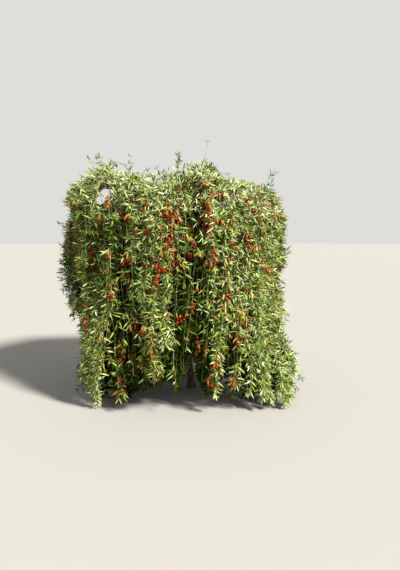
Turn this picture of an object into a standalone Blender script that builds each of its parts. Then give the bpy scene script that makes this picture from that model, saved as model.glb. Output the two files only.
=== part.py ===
"""Goji berry bush (Lycium), weeping orchard form, about 1.7 m tall and 1.6 m across.

A slender leaning trunk forks into arching boughs that carry a broad, lumpy canopy.
Fruiting shoots weep from the canopy's rim in separate hanging masses round an open
space under the bush.  Metres, +Z up, origin at the middle of the trunk's foot, on the
ground.  +X is the bush's right side as seen from the front, and the front faces -Y.
"""

import math

import bmesh
import bpy
from mathutils import Vector, noise

# ---------------------------------------------------------------- sizes (metres)
CENTRE_X = -0.098            # the canopy's axis stands left of the trunk's foot
HALF_WIDTH = 0.770           # plan half-axes of the canopy
HALF_DEPTH = 0.715
SHOULDER_Z = 1.285           # where the canopy's rim turns down
DOME_RISE = 0.200            # from the rim to the top of the dome
DOME_POWER, DOME_ROUND = 4.0, 0.6
CEILING_Z = 1.020            # underside of the canopy, over the open space
CEILING_SPAN = 0.66          # how far out that underside reaches, as a share of the plan
SKIRT_Z = 1.085              # where canopy masses end and hanging masses begin
SKIRT_WAVES = ((3, 0.7, 0.060), (7, 2.0, 0.035))   # turns, phase, height
SKIRT_TAPER, SKIRT_TAPER_POWER = 0.085, 1.6        # the skirt draws in towards the ground
CURTAIN_THICK = 0.215        # of a hanging mass at its top
LOBE_RISE, LOBE_POWER = 0.30, 2.4                  # a hanging mass narrows to its tip
MASS_GAP = 0.012             # clear air between neighbouring masses
WAVER = 2.6                  # degrees that the gaps between hanging masses wander
RIGHT_FLARE = (0.215, 338, 25, 0.58)  # reach, bearing, half-width, height of the low right skirt
CANOPY_LUMP, HANGING_LUMP = 0.11, 0.13  # how deep the masses' lumps are, as a share
SWAY, SWAY_SCALE = 0.042, 2.3           # the whole crown's slow unevenness

TRUNK_TOP = Vector((-0.062, 0.012, 0.560))
TRUNK_FOOT_RADIUS = 0.0265
TRUNK_TOP_RADIUS = 0.0185
ROOT_FLARE = 0.013           # extra radius at the ground
FLARE_HEIGHT = 0.055
FLARE_LOBES = 5
JOINT_GAP = 0.0004           # between wood and what it meets

# bumps and dips along the top, as (x, half-width, rise)
TOP_BUMPS = (
    (-0.510, 0.190, 0.082),
    (-0.285, 0.060, -0.070),
    (0.085, 0.105, 0.078),
    (0.235, 0.050, -0.070),
    (0.380, 0.130, -0.012),
)

# canopy masses: name, x, y, z of the middle
CANOPY = (
    ("canopy_left", -0.680, -0.100, 1.230),
    ("canopy_front_left", -0.445, -0.420, 1.235),
    ("canopy_front", -0.060, -0.475, 1.225),
    ("canopy_front_right", 0.300, -0.370, 1.210),
    ("canopy_right", 0.470, 0.020, 1.220),
    ("canopy_back_right", 0.270, 0.410, 1.215),
    ("canopy_back", -0.120, 0.500, 1.225),
    ("canopy_back_left", -0.500, 0.350, 1.220),
    ("canopy_middle_left", -0.340, 0.010, 1.330),
    ("canopy_middle", 0.090, 0.010, 1.320),
)

# hanging masses: name, bearing in degrees (0 is +X, 270 is the front), bottom height,
# how much of the curtain's thickness it has
HANGING = (
    ("hang_left", 186, 0.520, 0.90),
    ("hang_left_near", 213, 0.050, 0.90),
    ("hang_tail_left", 231, 0.012, 0.80),
    ("hang_front_left", 247, 0.075, 0.95),
    ("hang_front_mid_left", 264, 0.150, 1.00),
    ("hang_front_mid_right", 280, 0.330, 0.85),
    ("hang_front_right", 296, 0.080, 0.95),
    ("hang_right_near", 313, 0.060, 1.00),
    ("hang_tail_right", 332, 0.012, 1.05),
    ("hang_right_low", 350, 0.100, 0.95),
    ("hang_right", 14, 0.260, 0.90),
    ("hang_back_right", 44, 0.110, 1.00),
    ("hang_back", 78, 0.170, 0.95),
    ("hang_back_left", 112, 0.090, 1.00),
    ("hang_left_far", 149, 0.240, 0.90),
)

# slim upright shoots above the canopy: name, x, y, tip height, radius, lean in x
SHOOTS = (
    ("shoot_leader", 0.092, -0.060, 1.707, 0.028, 0.022),
    ("shoot_middle", -0.095, -0.090, 1.600, 0.026, 0.024),
    ("shoot_right", 0.520, -0.050, 1.512, 0.030, 0.050),
)

# boughs: name, height on the trunk, bearing, reach, end height, root radius, end radius
BOUGHS = (
    ("bough_left", 0.430, 172, 0.440, 1.150, 0.0150, 0.0085),
    ("bough_front_left", 0.505, 232, 0.380, 1.160, 0.0140, 0.0080),
    ("bough_front_right", 0.455, 300, 0.400, 1.150, 0.0145, 0.0080),
    ("bough_right", 0.520, 352, 0.460, 1.150, 0.0140, 0.0080),
    ("bough_back_right", 0.475, 48, 0.430, 1.150, 0.0140, 0.0080),
    ("bough_back_left", 0.400, 118, 0.430, 1.150, 0.0145, 0.0080),
)
LEADER_END = Vector((0.010, 0.000, 1.180))
LEADER_RADII = (0.0150, 0.0090)

BARK = ((0.30, 0.24, 0.17), 0.90)
LEAF_TONES = ((0.25, 0.36, 0.14), (0.31, 0.43, 0.18), (0.21, 0.31, 0.13))


# ---------------------------------------------------------------- scene helpers
def clear_scene():
    for obj in list(bpy.data.objects):
        bpy.data.objects.remove(obj, do_unlink=True)


def collection(name):
    made = bpy.data.collections.new(name)
    bpy.context.scene.collection.children.link(made)
    return made


def material(name, colour, roughness):
    mat = bpy.data.materials.new(name)
    mat.use_nodes = True
    bsdf = mat.node_tree.nodes["Principled BSDF"]
    bsdf.inputs["Base Color"].default_value = (*colour, 1.0)
    bsdf.inputs["Roughness"].default_value = roughness
    bsdf.inputs["Metallic"].default_value = 0.0
    return mat


def object_from(bm, name, where, mat, parent):
    bmesh.ops.recalc_face_normals(bm, faces=bm.faces)
    mesh = bpy.data.meshes.new(name)
    bm.to_mesh(mesh)
    bm.free()
    mesh.shade_smooth()
    mesh.set_sharp_from_angle(angle=math.radians(50))
    obj = bpy.data.objects.new(name, mesh)
    where.objects.link(obj)
    if mat:
        mesh.materials.append(mat)
    obj.parent = parent
    return obj


# ---------------------------------------------------------------- the bush's envelope
def bearing_of(x, y):
    return math.atan2(y, x - CENTRE_X)


def plan_radius(bearing):
    c, s = math.cos(bearing), math.sin(bearing)
    return 1.0 / math.sqrt((c / HALF_WIDTH) ** 2 + (s / HALF_DEPTH) ** 2)


def bump(t, half_width):
    return math.exp(-((t / half_width) ** 2))


def turn_from(bearing, degrees):
    """Signed degrees from a bearing in degrees to one in radians."""
    return (math.degrees(bearing) - degrees + 180) % 360 - 180


def skirt_top(bearing):
    return SKIRT_Z + sum(h * math.sin(n * bearing + ph) for n, ph, h in SKIRT_WAVES)


def rim_radius(bearing, z):
    """Outer radius of the bush at a height."""
    down = max(0.0, SKIRT_Z - z) / SKIRT_Z
    radius = plan_radius(bearing) * (1.0 - SKIRT_TAPER * down**SKIRT_TAPER_POWER)
    reach, at, half_width, height = RIGHT_FLARE
    low = max(0.0, 1.0 - z / height)
    return radius + reach * bump(turn_from(bearing, at), half_width) * low


def top_height(x, y):
    rho = math.hypot(x - CENTRE_X, y) / plan_radius(bearing_of(x, y))
    if rho >= 1.0:
        return SHOULDER_Z - 0.9 * (rho - 1.0)
    z = SHOULDER_Z + DOME_RISE * (1.0 - rho**DOME_POWER) ** DOME_ROUND
    return z + sum(rise * bump(x - at, width) for at, width, rise in TOP_BUMPS) * (1 - rho**6)


def sway(p):
    """Moves a point of the crown a little, the same for all masses, so none meet."""
    q = p * SWAY_SCALE
    move = Vector((noise.noise(q + Vector((11.3, 0.0, 4.0))),
                   noise.noise(q + Vector((0.0, 23.1, 8.0))),
                   noise.noise(q + Vector((5.0, 2.0, 37.7))) * 0.6))
    steady = max(0.0, min(1.0, p.z / 0.35))
    move.z *= steady
    return p + move * SWAY * (0.35 + 0.65 * steady)


def lumps(p, seed, scale):
    """0 to 1, smooth and always the same at one place."""
    q = Vector((p.x * scale + seed * 3.1, p.y * scale - seed * 1.7, p.z * scale + seed))
    return 0.5 + 0.5 * max(-1.0, min(1.0, 1.25 * noise.noise(q)))


def reach_out(centre, direction, inside, far):
    """How far a ray from centre stays inside, by stepping out and then halving."""
    steps, last = 48, 0.0
    for i in range(1, steps + 1):
        t = far * i / steps
        if not inside(centre + direction * t):
            low, high = last, t
            for _ in range(14):
                mid = 0.5 * (low + high)
                if inside(centre + direction * mid):
                    low = mid
                else:
                    high = mid
            return low
        last = t
    return far


def lumpy_mass(
    name, centre, stretch, inside, seed, where, mat, parent, lump, tip_hold=0.0, far=1.2
):
    """A ball whose every vertex is pushed out to the edge of its own room in the bush."""
    bm = bmesh.new()
    bmesh.ops.create_icosphere(bm, subdivisions=3, radius=1.0)
    for v in bm.verts:
        d = Vector((v.co.x * stretch[0], v.co.y * stretch[1], v.co.z * stretch[2]))
        d.normalize()
        t = reach_out(centre, d, inside, far)
        p = centre + d * t
        depth = 0.6 * lumps(p, seed, 6.5) + 0.4 * lumps(p, seed + 9, 16.0)
        t *= 1.0 - lump * depth * (1.0 - tip_hold * d.z**4)
        v.co = sway(centre + d * t) - centre
    obj = object_from(bm, name, where, mat, parent)
    obj.location = centre
    return obj


# ---------------------------------------------------------------- masses of foliage
def canopy_room(index):
    centre = Vector(CANOPY[index][1:])
    walls = []
    for j, other in enumerate(CANOPY):
        if j != index:
            towards = Vector(other[1:]) - centre
            walls.append((towards.normalized(), towards.length / 2 - MASS_GAP / 2))

    def inside(p):
        for normal, limit in walls:
            if (p - centre).dot(normal) > limit:
                return False
        bearing = bearing_of(p.x, p.y)
        rho = math.hypot(p.x - CENTRE_X, p.y) / plan_radius(bearing)
        if rho > 1.0 or p.z > top_height(p.x, p.y):
            return False
        if rho < CEILING_SPAN:
            return p.z > CEILING_Z + 0.05 * rho
        return p.z > skirt_top(bearing) + MASS_GAP / 2

    return centre, inside


def hanging_room(index):
    name, degrees, bottom, share = HANGING[index]
    turns = sorted(h[1] for h in HANGING)
    here = turns.index(degrees)
    follow = (here + 1) % len(turns)
    before = (degrees - turns[here - 1]) % 360
    after = (turns[follow] - degrees) % 360
    bearing = math.radians(degrees)
    thick = CURTAIN_THICK * share
    top = skirt_top(bearing)
    middle_z = 0.5 * (bottom + top)
    middle_r = rim_radius(bearing, middle_z) - thick * 0.4
    centre = Vector(
        (CENTRE_X + middle_r * math.cos(bearing), middle_r * math.sin(bearing), middle_z)
    )

    def inside(p):
        b = bearing_of(p.x, p.y)
        if p.z > skirt_top(b) - MASS_GAP / 2:
            return False
        turn = turn_from(b, degrees)
        radius = math.hypot(p.x - CENTRE_X, p.y)
        side, half = (follow, after / 2) if turn > 0 else (here, before / 2)
        wander = WAVER * math.sin(6.5 * p.z + 2.1 * side)
        half += wander if turn > 0 else -wander
        half -= math.degrees(MASS_GAP / 2 / max(radius, 0.1))
        across = abs(turn) / half
        if across > 1.0 or p.z < bottom + LOBE_RISE * across**LOBE_POWER:
            return False
        outer = rim_radius(b, p.z)
        down = max(0.0, (top - p.z) / (top - bottom))
        inner = outer - thick * (1.0 - 0.45 * down)
        return inner < radius < outer

    return centre, inside, middle_r, math.radians(0.5 * (before + after)), top - bottom


def make_masses(where, parent, mats):
    made = {}
    for i, item in enumerate(CANOPY):
        centre, inside = canopy_room(i)
        made[item[0]] = lumpy_mass(
            item[0], centre, (1.0, 1.0, 0.75), inside, 2.0 + i, where, mats[i % 3],
            parent, CANOPY_LUMP,
        )
    for i, item in enumerate(HANGING):
        centre, inside, radius, wide, height = hanging_room(i)
        # the ball is stretched along the curtain before its vertices are pushed out
        bearing = math.radians(item[1])
        along = radius * wide
        sx = math.hypot(math.cos(bearing) * 0.20, math.sin(bearing) * along)
        sy = math.hypot(math.sin(bearing) * 0.20, math.cos(bearing) * along)
        made[item[0]] = lumpy_mass(
            item[0], centre, (sx, sy, height), inside, 31.0 + i, where,
            mats[(i + 1) % 3], parent, HANGING_LUMP, 0.9,
        )
    return made


def grown(mass, cutters, name):
    """A slightly larger copy of a mass, to cut a limb off just short of it."""
    mesh = mass.data.copy()
    for v in mesh.vertices:
        v.co *= 1.0 + 0.0008 / v.co.length
    obj = bpy.data.objects.new(name, mesh)
    cutters.objects.link(obj)
    obj.location = mass.location
    return obj


def cut(obj, cutter, cutters):
    cutter.hide_render = True
    cutter.display_type = "WIRE"
    for old in list(cutter.users_collection):
        old.objects.unlink(cutter)
    cutters.objects.link(cutter)
    boolean = obj.modifiers.new("cut", "BOOLEAN")
    boolean.operation = "DIFFERENCE"
    boolean.solver = "EXACT"
    boolean.object = cutter


def nearest_masses(point, masses, count):
    """The canopy masses whose middles lie nearest to a point."""
    canopy = [m for name, m in masses.items() if name.startswith("canopy")]
    return sorted(canopy, key=lambda m: (Vector(m.location) - point).length)[:count]


def make_shoots(where, cutters, parent, mat, masses):
    """Each is a slim spindle that stands on the canopy, its foot cut to the mass there."""
    for name, x, y, tip, radius, lean in SHOOTS:
        foot = top_height(x, y) - 0.060
        height = tip - foot
        bm = bmesh.new()
        bmesh.ops.create_uvsphere(bm, u_segments=8, v_segments=8, radius=1.0)
        for v in bm.verts:
            up = 0.5 * (v.co.z + 1.0)
            width = radius * (1.0 - 0.45 * up) * (0.85 + 0.3 * lumps(v.co, x * 7, 1.6))
            v.co = Vector((v.co.x * width + lean * up * up, v.co.y * width, height * up))
        obj = object_from(bm, name, where, mat, parent)
        obj.location = (x, y, foot)
        for k, mass in enumerate(nearest_masses(Vector((x, y, foot)), masses, 2)):
            cut(obj, grown(mass, cutters, f"cut_{name}_{k}"), cutters)


# ---------------------------------------------------------------- wood
def bezier(p0, p1, p2, p3, t):
    s = 1.0 - t
    return p0 * s**3 + p1 * 3 * s * s * t + p2 * 3 * s * t * t + p3 * t**3


def limb_curve(name, points, radii, sides_resolution=2):
    """A tapering limb: a poly curve with its own radius at every point."""
    data = bpy.data.curves.new(name, "CURVE")
    data.dimensions = "3D"
    data.bevel_depth = 1.0
    data.bevel_resolution = sides_resolution
    data.use_fill_caps = True
    spline = data.splines.new("POLY")
    spline.points.add(len(points) - 1)
    for point, co, radius in zip(spline.points, points, radii):
        point.co = (*co, 1.0)
        point.radius = radius
    return bpy.data.objects.new(name, data)


def limb_mesh(name, points, radii, where, mat, parent, sides_resolution=2):
    """The curve made a closed mesh, so that it can be cut."""
    curve = limb_curve(name + "_line", points, radii, sides_resolution)
    where.objects.link(curve)
    bpy.context.view_layer.update()
    graph = bpy.context.evaluated_depsgraph_get()
    mesh = bpy.data.meshes.new_from_object(curve.evaluated_get(graph))
    bm = bmesh.new()
    bm.from_mesh(mesh)
    bmesh.ops.remove_doubles(bm, verts=bm.verts, dist=1e-6)
    obj = object_from(bm, name, where, mat, parent)
    obj.matrix_world = curve.matrix_world
    bpy.data.objects.remove(curve, do_unlink=True)
    bpy.data.meshes.remove(mesh)
    return obj


def trunk_axis(z):
    """The trunk stands straight out of the ground and then leans, with a slight bend."""
    t = z / TRUNK_TOP.z
    ease = t * t * (3 - 2 * t) * 0.35 + 0.65 * t
    start = max(0.0, min(1.0, z / 0.05)) ** 2
    return Vector(((TRUNK_TOP.x * ease + 0.006 * math.sin(math.pi * t)) * start,
                   (TRUNK_TOP.y * ease - 0.005 * math.sin(2 * math.pi * t)) * start, z))


def trunk_radius(z):
    t = z / TRUNK_TOP.z
    radius = TRUNK_FOOT_RADIUS + (TRUNK_TOP_RADIUS - TRUNK_FOOT_RADIUS) * t**0.8
    return radius + 0.0022 * bump(z - 0.44, 0.06)


def make_trunk(name, where, mat, parent, extra=0.0, top=0.0):
    heights = [0.0, 0.006, 0.016, 0.030, 0.048, 0.075, 0.11, 0.16, 0.22, 0.28, 0.34,
               0.40, 0.45, 0.50, 0.53, TRUNK_TOP.z + top]
    points = [trunk_axis(z) for z in heights]
    radii = [trunk_radius(min(z, TRUNK_TOP.z)) + extra for z in heights]
    obj = limb_mesh(name, points, radii, where, mat, parent, 4)
    for v in obj.data.vertices:
        axis = trunk_axis(v.co.z)
        out = Vector((v.co.x - axis.x, v.co.y - axis.y, 0.0))
        if out.length < 1e-6:
            continue
        angle = math.atan2(out.y, out.x)
        near = max(0.0, 1.0 - v.co.z / FLARE_HEIGHT) ** 2
        lobe = 0.75 + 0.45 * math.cos(FLARE_LOBES * angle + 0.8)
        fluting = 0.0009 * math.sin(3 * angle + 4.0 * v.co.z)
        v.co += out.normalized() * (ROOT_FLARE * near * lobe + fluting)
        if v.co.z < 0.002:
            v.co.z = 0.0
    return obj


def bough_points(start_z, bearing, reach, end_z, steps=9):
    b = math.radians(bearing)
    out = Vector((math.cos(b), math.sin(b), 0.0))
    root = trunk_axis(start_z)
    end = Vector((root.x + out.x * reach, root.y + out.y * reach, end_z))
    rise = end_z - start_z
    side = Vector((-out.y, out.x, 0.0)) * 0.035 * math.sin(bearing)
    p1 = root + out * reach * 0.42 + Vector((0, 0, rise * 0.18)) + side
    p2 = end - out * reach * 0.22 - Vector((0, 0, rise * 0.42)) - side
    return [bezier(root, p1, p2, end, i / (steps - 1)) for i in range(steps)]


def make_wood(where, cutters, parent, mat, masses):
    make_trunk("trunk", where, mat, parent)
    sleeve = make_trunk("cut_trunk", cutters, None, None, JOINT_GAP, JOINT_GAP)
    for name, start, bearing, reach, end, r0, r1 in BOUGHS:
        points = bough_points(start, bearing, reach, end)
        steps = len(points) - 1
        radii = [r0 + (r1 - r0) * (i / steps) ** 0.9 for i in range(steps + 1)]
        radii[0] *= 1.12
        bough = limb_mesh(name, points, radii, where, mat, parent)
        cut(bough, sleeve, cutters)
        for k, mass in enumerate(nearest_masses(points[-1], masses, 2)):
            cut(bough, grown(mass, cutters, f"cut_{name}_{k}"), cutters)
    # the leading bough carries straight on from the trunk's top
    root = trunk_axis(TRUNK_TOP.z - 0.012)
    up = (trunk_axis(TRUNK_TOP.z) - trunk_axis(TRUNK_TOP.z - 0.03)).normalized()
    points = [
        bezier(root, root + up * 0.20, LEADER_END - Vector((0.02, 0, 0.22)), LEADER_END, i / 10)
        for i in range(11)
    ]
    radii = [LEADER_RADII[0] + (LEADER_RADII[1] - LEADER_RADII[0]) * i / 10 for i in range(11)]
    bough = limb_mesh("bough_leader", points, radii, where, mat, parent)
    cut(bough, sleeve, cutters)
    for k, mass in enumerate(nearest_masses(points[-1], masses, 2)):
        cut(bough, grown(mass, cutters, f"cut_bough_leader_{k}"), cutters)


def main():
    clear_scene()
    bush = collection("goji_berry_bush")
    cutters = collection("cutters")
    root = bpy.data.objects.new("bush_root", None)
    bush.objects.link(root)
    bark = material("bark", *BARK)
    tones = [material(f"foliage_{i + 1}", c, 0.75) for i, c in enumerate(LEAF_TONES)]
    masses = make_masses(bush, root, tones)
    make_shoots(bush, cutters, root, tones[1], masses)
    make_wood(bush, cutters, root, bark, masses)


main()
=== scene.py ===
"""Looks of the goji berry bush: bark, canes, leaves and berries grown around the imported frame."""

import math

import bpy
import numpy as np
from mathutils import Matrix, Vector, noise


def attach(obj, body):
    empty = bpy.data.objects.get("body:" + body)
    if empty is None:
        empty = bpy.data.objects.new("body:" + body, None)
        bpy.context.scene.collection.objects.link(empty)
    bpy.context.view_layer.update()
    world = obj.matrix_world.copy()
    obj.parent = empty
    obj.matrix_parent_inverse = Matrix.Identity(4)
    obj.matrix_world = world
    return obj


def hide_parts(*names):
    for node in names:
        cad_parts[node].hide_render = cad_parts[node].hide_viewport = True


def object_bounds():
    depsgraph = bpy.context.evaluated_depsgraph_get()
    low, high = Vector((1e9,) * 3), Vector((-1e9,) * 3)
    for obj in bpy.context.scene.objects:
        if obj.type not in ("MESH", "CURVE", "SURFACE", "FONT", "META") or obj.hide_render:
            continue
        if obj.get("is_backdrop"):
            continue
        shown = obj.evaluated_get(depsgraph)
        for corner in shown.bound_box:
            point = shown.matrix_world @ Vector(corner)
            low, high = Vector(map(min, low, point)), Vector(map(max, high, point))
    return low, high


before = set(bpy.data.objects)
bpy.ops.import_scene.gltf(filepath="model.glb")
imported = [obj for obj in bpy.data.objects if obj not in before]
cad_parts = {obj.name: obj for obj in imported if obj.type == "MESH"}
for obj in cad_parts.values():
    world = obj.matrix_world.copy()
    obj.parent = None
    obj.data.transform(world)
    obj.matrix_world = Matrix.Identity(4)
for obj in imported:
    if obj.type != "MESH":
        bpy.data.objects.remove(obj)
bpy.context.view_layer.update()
NODES = sorted(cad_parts)
RNG = np.random.default_rng(20260)
TAU = 2 * math.pi

# ------------------------------------------------------------------ the bush's sizes, as in the CAD
CENTRE_X = -0.098
HALF_WIDTH, HALF_DEPTH = 0.770, 0.715
SHOULDER_Z, DOME_RISE, DOME_POWER, DOME_ROUND = 1.285, 0.200, 4.0, 0.6
SKIRT_Z, SKIRT_TAPER, SKIRT_TAPER_POWER = 1.085, 0.085, 1.6
LOBE_RISE, LOBE_POWER = 0.30, 2.4
RIGHT_FLARE = (0.215, 338, 25, 0.58)
SWAY, SWAY_SCALE = 0.042, 2.3
TOP_BUMPS = (
    (-0.510, 0.190, 0.082),
    (-0.285, 0.060, -0.070),
    (0.085, 0.105, 0.078),
    (0.235, 0.050, -0.070),
    (0.380, 0.130, -0.012),
)
HANGING = (
    ("hang_left", 186, 0.520),
    ("hang_left_near", 213, 0.050),
    ("hang_tail_left", 231, 0.012),
    ("hang_front_left", 247, 0.075),
    ("hang_front_mid_left", 264, 0.150),
    ("hang_front_mid_right", 280, 0.330),
    ("hang_front_right", 296, 0.080),
    ("hang_right_near", 313, 0.060),
    ("hang_tail_right", 332, 0.012),
    ("hang_right_low", 350, 0.100),
    ("hang_right", 14, 0.260),
    ("hang_back_right", 44, 0.110),
    ("hang_back", 78, 0.170),
    ("hang_back_left", 112, 0.090),
    ("hang_left_far", 149, 0.240),
)
TRUNK_TOP = Vector((-0.062, 0.012, 0.560))
TRUNK_FOOT_RADIUS, TRUNK_TOP_RADIUS = 0.0265, 0.0185
ROOT_FLARE, FLARE_HEIGHT, FLARE_LOBES = 0.013, 0.055, 5
BOUGHS = (
    ("bough_left", 0.430, 172, 0.440, 1.150, 0.0150, 0.0085),
    ("bough_front_left", 0.505, 232, 0.380, 1.160, 0.0140, 0.0080),
    ("bough_front_right", 0.455, 300, 0.400, 1.150, 0.0145, 0.0080),
    ("bough_right", 0.520, 352, 0.460, 1.150, 0.0140, 0.0080),
    ("bough_back_right", 0.475, 48, 0.430, 1.150, 0.0140, 0.0080),
    ("bough_back_left", 0.400, 118, 0.430, 1.150, 0.0145, 0.0080),
)
LEADER_END, LEADER_RADII = Vector((0.010, 0.000, 1.180)), (0.0150, 0.0090)


def plan_radius(b):
    return 1.0 / math.sqrt((math.cos(b) / HALF_WIDTH) ** 2 + (math.sin(b) / HALF_DEPTH) ** 2)


def bump(t, w):
    return math.exp(-((t / w) ** 2))


def turn_from(b, degrees):
    return (math.degrees(b) - degrees + 180) % 360 - 180


def rim_radius(b, z):
    down = max(0.0, SKIRT_Z - z) / SKIRT_Z
    r = plan_radius(b) * (1.0 - SKIRT_TAPER * down**SKIRT_TAPER_POWER)
    reach, at, half, height = RIGHT_FLARE
    return r + reach * bump(turn_from(b, at), half) * max(0.0, 1.0 - z / height)


def top_height(x, y):
    b = math.atan2(y, x - CENTRE_X)
    rho = math.hypot(x - CENTRE_X, y) / plan_radius(b)
    if rho >= 1.0:
        return SHOULDER_Z - 0.9 * (rho - 1.0)
    z = SHOULDER_Z + DOME_RISE * (1.0 - rho**DOME_POWER) ** DOME_ROUND
    return z + sum(rise * bump(x - at, w) for at, w, rise in TOP_BUMPS) * (1 - rho**6)


def sway(p):
    q = p * SWAY_SCALE
    move = Vector((noise.noise(q + Vector((11.3, 0.0, 4.0))),
                   noise.noise(q + Vector((0.0, 23.1, 8.0))),
                   noise.noise(q + Vector((5.0, 2.0, 37.7))) * 0.6))
    steady = max(0.0, min(1.0, p.z / 0.35))
    move.z *= steady
    return p + move * SWAY * (0.35 + 0.65 * steady)


def skirt_bottom(b):
    """Lowest tips of the hanging masses at a bearing."""
    turns = sorted((h[1], h[2]) for h in HANGING)
    best = 9.0
    for i, (deg, low) in enumerate(turns):
        turn = turn_from(b, deg)
        after = (turns[(i + 1) % len(turns)][0] - deg) % 360
        before = (deg - turns[i - 1][0]) % 360
        half = (after if turn > 0 else before) / 2
        across = abs(turn) / half
        if across <= 1.0:
            best = min(best, low + LOBE_RISE * across**LOBE_POWER)
    return best


def place(b, radius, z):
    return Vector((CENTRE_X + radius * math.cos(b), radius * math.sin(b), z))


def behind_surface(points):
    """How far points lie inside the crown's surface; less than nothing outside it."""
    out = np.empty(len(points))
    for i, p in enumerate(points):
        q = Vector(p)
        q = q - (sway(q) - q)
        b = math.atan2(q.y, q.x - CENTRE_X)
        r = math.hypot(q.x - CENTRE_X, q.y)
        side = (rim_radius(b, q.z) if q.z < SKIRT_Z else plan_radius(b)) - r
        if q.z > SHOULDER_Z - 0.05 and side < 0.12:
            side -= 0.35 * (q.z - SHOULDER_Z + 0.05)
        out[i] = min(side, top_height(q.x, q.y) - q.z)
    return out


# ------------------------------------------------------------------ the camera's view, for gaps
CAM = Vector((0.065, -3.3, 1.084))
PITCH = math.radians(6.047)
FOCAL = 472.0


def seen_at(p):
    """Where points fall in the 400 by 570 frame."""
    p = np.asarray(p, float).reshape(-1, 3)
    zr, y = p[:, 2] - CAM.z, p[:, 1] - CAM.y
    d = y * math.cos(PITCH) - zr * math.sin(PITCH)
    v = zr * math.cos(PITCH) + y * math.sin(PITCH)
    return 200 + FOCAL * (p[:, 0] - CAM.x) / d, 285 - FOCAL * v / d


def on_ray(px, py, y):
    """The point seen at a place in the frame whose y is given."""
    u, v = (px - 200) / FOCAL, (285 - py) / FOCAL
    d = np.array([u, math.cos(PITCH) + v * math.sin(PITCH), v * math.cos(PITCH) - math.sin(PITCH)])
    return np.array(CAM) + d * ((y - CAM.y) / d[1])


# ------------------------------------------------------------------ materials
def plain(name, colour, rough, spec=0.5, bump_scale=None, bump_strength=0.2, sheen=0.0):
    mat = bpy.data.materials.new(name)
    mat.use_nodes = True
    nt = mat.node_tree
    p = nt.nodes["Principled BSDF"]
    p.inputs["Base Color"].default_value = (*colour, 1)
    p.inputs["Roughness"].default_value = rough
    p.inputs["Specular IOR Level"].default_value = spec
    p.inputs["Sheen Weight"].default_value = sheen
    if bump_scale:
        co = nt.nodes.new("ShaderNodeTexCoord")
        tex = nt.nodes.new("ShaderNodeTexNoise")
        tex.inputs["Scale"].default_value = bump_scale
        tex.inputs["Detail"].default_value = 3
        b = nt.nodes.new("ShaderNodeBump")
        b.inputs["Strength"].default_value = bump_strength
        b.inputs["Distance"].default_value = 0.001
        nt.links.new(co.outputs["Object"], tex.inputs["Vector"])
        nt.links.new(tex.outputs["Fac"], b.inputs["Height"])
        nt.links.new(b.outputs["Normal"], p.inputs["Normal"])
    return mat


def bark_material(name, dark, mid, pale, scale=60):
    mat = bpy.data.materials.new(name)
    mat.use_nodes = True
    nt = mat.node_tree
    p = nt.nodes["Principled BSDF"]
    p.inputs["Roughness"].default_value = 0.88
    p.inputs["Specular IOR Level"].default_value = 0.3
    co = nt.nodes.new("ShaderNodeTexCoord")
    stretch = nt.nodes.new("ShaderNodeMapping")
    stretch.inputs["Scale"].default_value = (1, 1, 0.22)
    a = nt.nodes.new("ShaderNodeTexNoise")
    a.inputs["Scale"].default_value = scale
    a.inputs["Detail"].default_value = 8
    a.inputs["Roughness"].default_value = 0.65
    ramp = nt.nodes.new("ShaderNodeValToRGB")
    els = ramp.color_ramp.elements
    els[0].position, els[0].color = 0.34, (*dark, 1)
    els[1].position, els[1].color = 0.70, (*pale, 1)
    m = els.new(0.50)
    m.color = (*mid, 1)
    fine = nt.nodes.new("ShaderNodeTexNoise")
    fine.inputs["Scale"].default_value = scale * 4
    fine.inputs["Detail"].default_value = 6
    b = nt.nodes.new("ShaderNodeBump")
    b.inputs["Strength"].default_value = 0.55
    b.inputs["Distance"].default_value = 0.002
    L = nt.links.new
    L(co.outputs["Object"], stretch.inputs["Vector"])
    L(stretch.outputs["Vector"], a.inputs["Vector"])
    L(stretch.outputs["Vector"], fine.inputs["Vector"])
    L(a.outputs["Fac"], ramp.inputs["Fac"])
    L(ramp.outputs["Color"], p.inputs["Base Color"])
    L(fine.outputs["Fac"], b.inputs["Height"])
    L(b.outputs["Normal"], p.inputs["Normal"])
    return mat


# ------------------------------------------------------------------ meshes from arrays
def mesh_object(name, verts, faces, mat, smooth=True):
    """verts (N, 3); faces (M, k)."""
    verts, faces = np.asarray(verts, np.float32), np.asarray(faces, np.int32)
    k = faces.shape[1]
    me = bpy.data.meshes.new(name)
    me.vertices.add(len(verts))
    me.vertices.foreach_set("co", verts.ravel())
    me.loops.add(faces.size)
    me.loops.foreach_set("vertex_index", faces.ravel())
    me.polygons.add(len(faces))
    me.polygons.foreach_set("loop_start", np.arange(0, faces.size, k, dtype=np.int32))
    me.polygons.foreach_set("loop_total", np.full(len(faces), k, np.int32))
    me.update(calc_edges=True)
    me.polygons.foreach_set("use_smooth", np.full(len(faces), smooth))
    me.materials.append(mat)
    ob = bpy.data.objects.new(name, me)
    bpy.context.scene.collection.objects.link(ob)
    return ob


def unit(v):
    return v / np.maximum(np.linalg.norm(v, axis=-1, keepdims=True), 1e-9)


LEAF_FULL = (
    np.array([[0.0, 0.0, 0.0],
              [0.28, -0.46, 0.0], [0.28, 0.0, 1.0], [0.28, 0.46, 0.0],
              [0.62, -0.40, 0.0], [0.62, 0.0, 0.9], [0.62, 0.40, 0.0],
              [1.0, 0.0, 0.0]]),
    np.array([[0, 1, 2], [0, 2, 3], [1, 4, 5], [1, 5, 2], [2, 5, 6], [2, 6, 3], [4, 7, 5], [5, 7, 6]]),
)
LEAF_LITE = (
    np.array([[0.0, 0.0, 0.0], [0.30, -0.48, 0.0], [0.30, 0.48, 0.0],
              [0.66, -0.40, 0.25], [0.66, 0.40, -0.25], [1.0, 0.0, 0.0]]),
    np.array([[0, 1, 2], [1, 3, 4], [1, 4, 2], [3, 5, 4]]),
)

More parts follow.
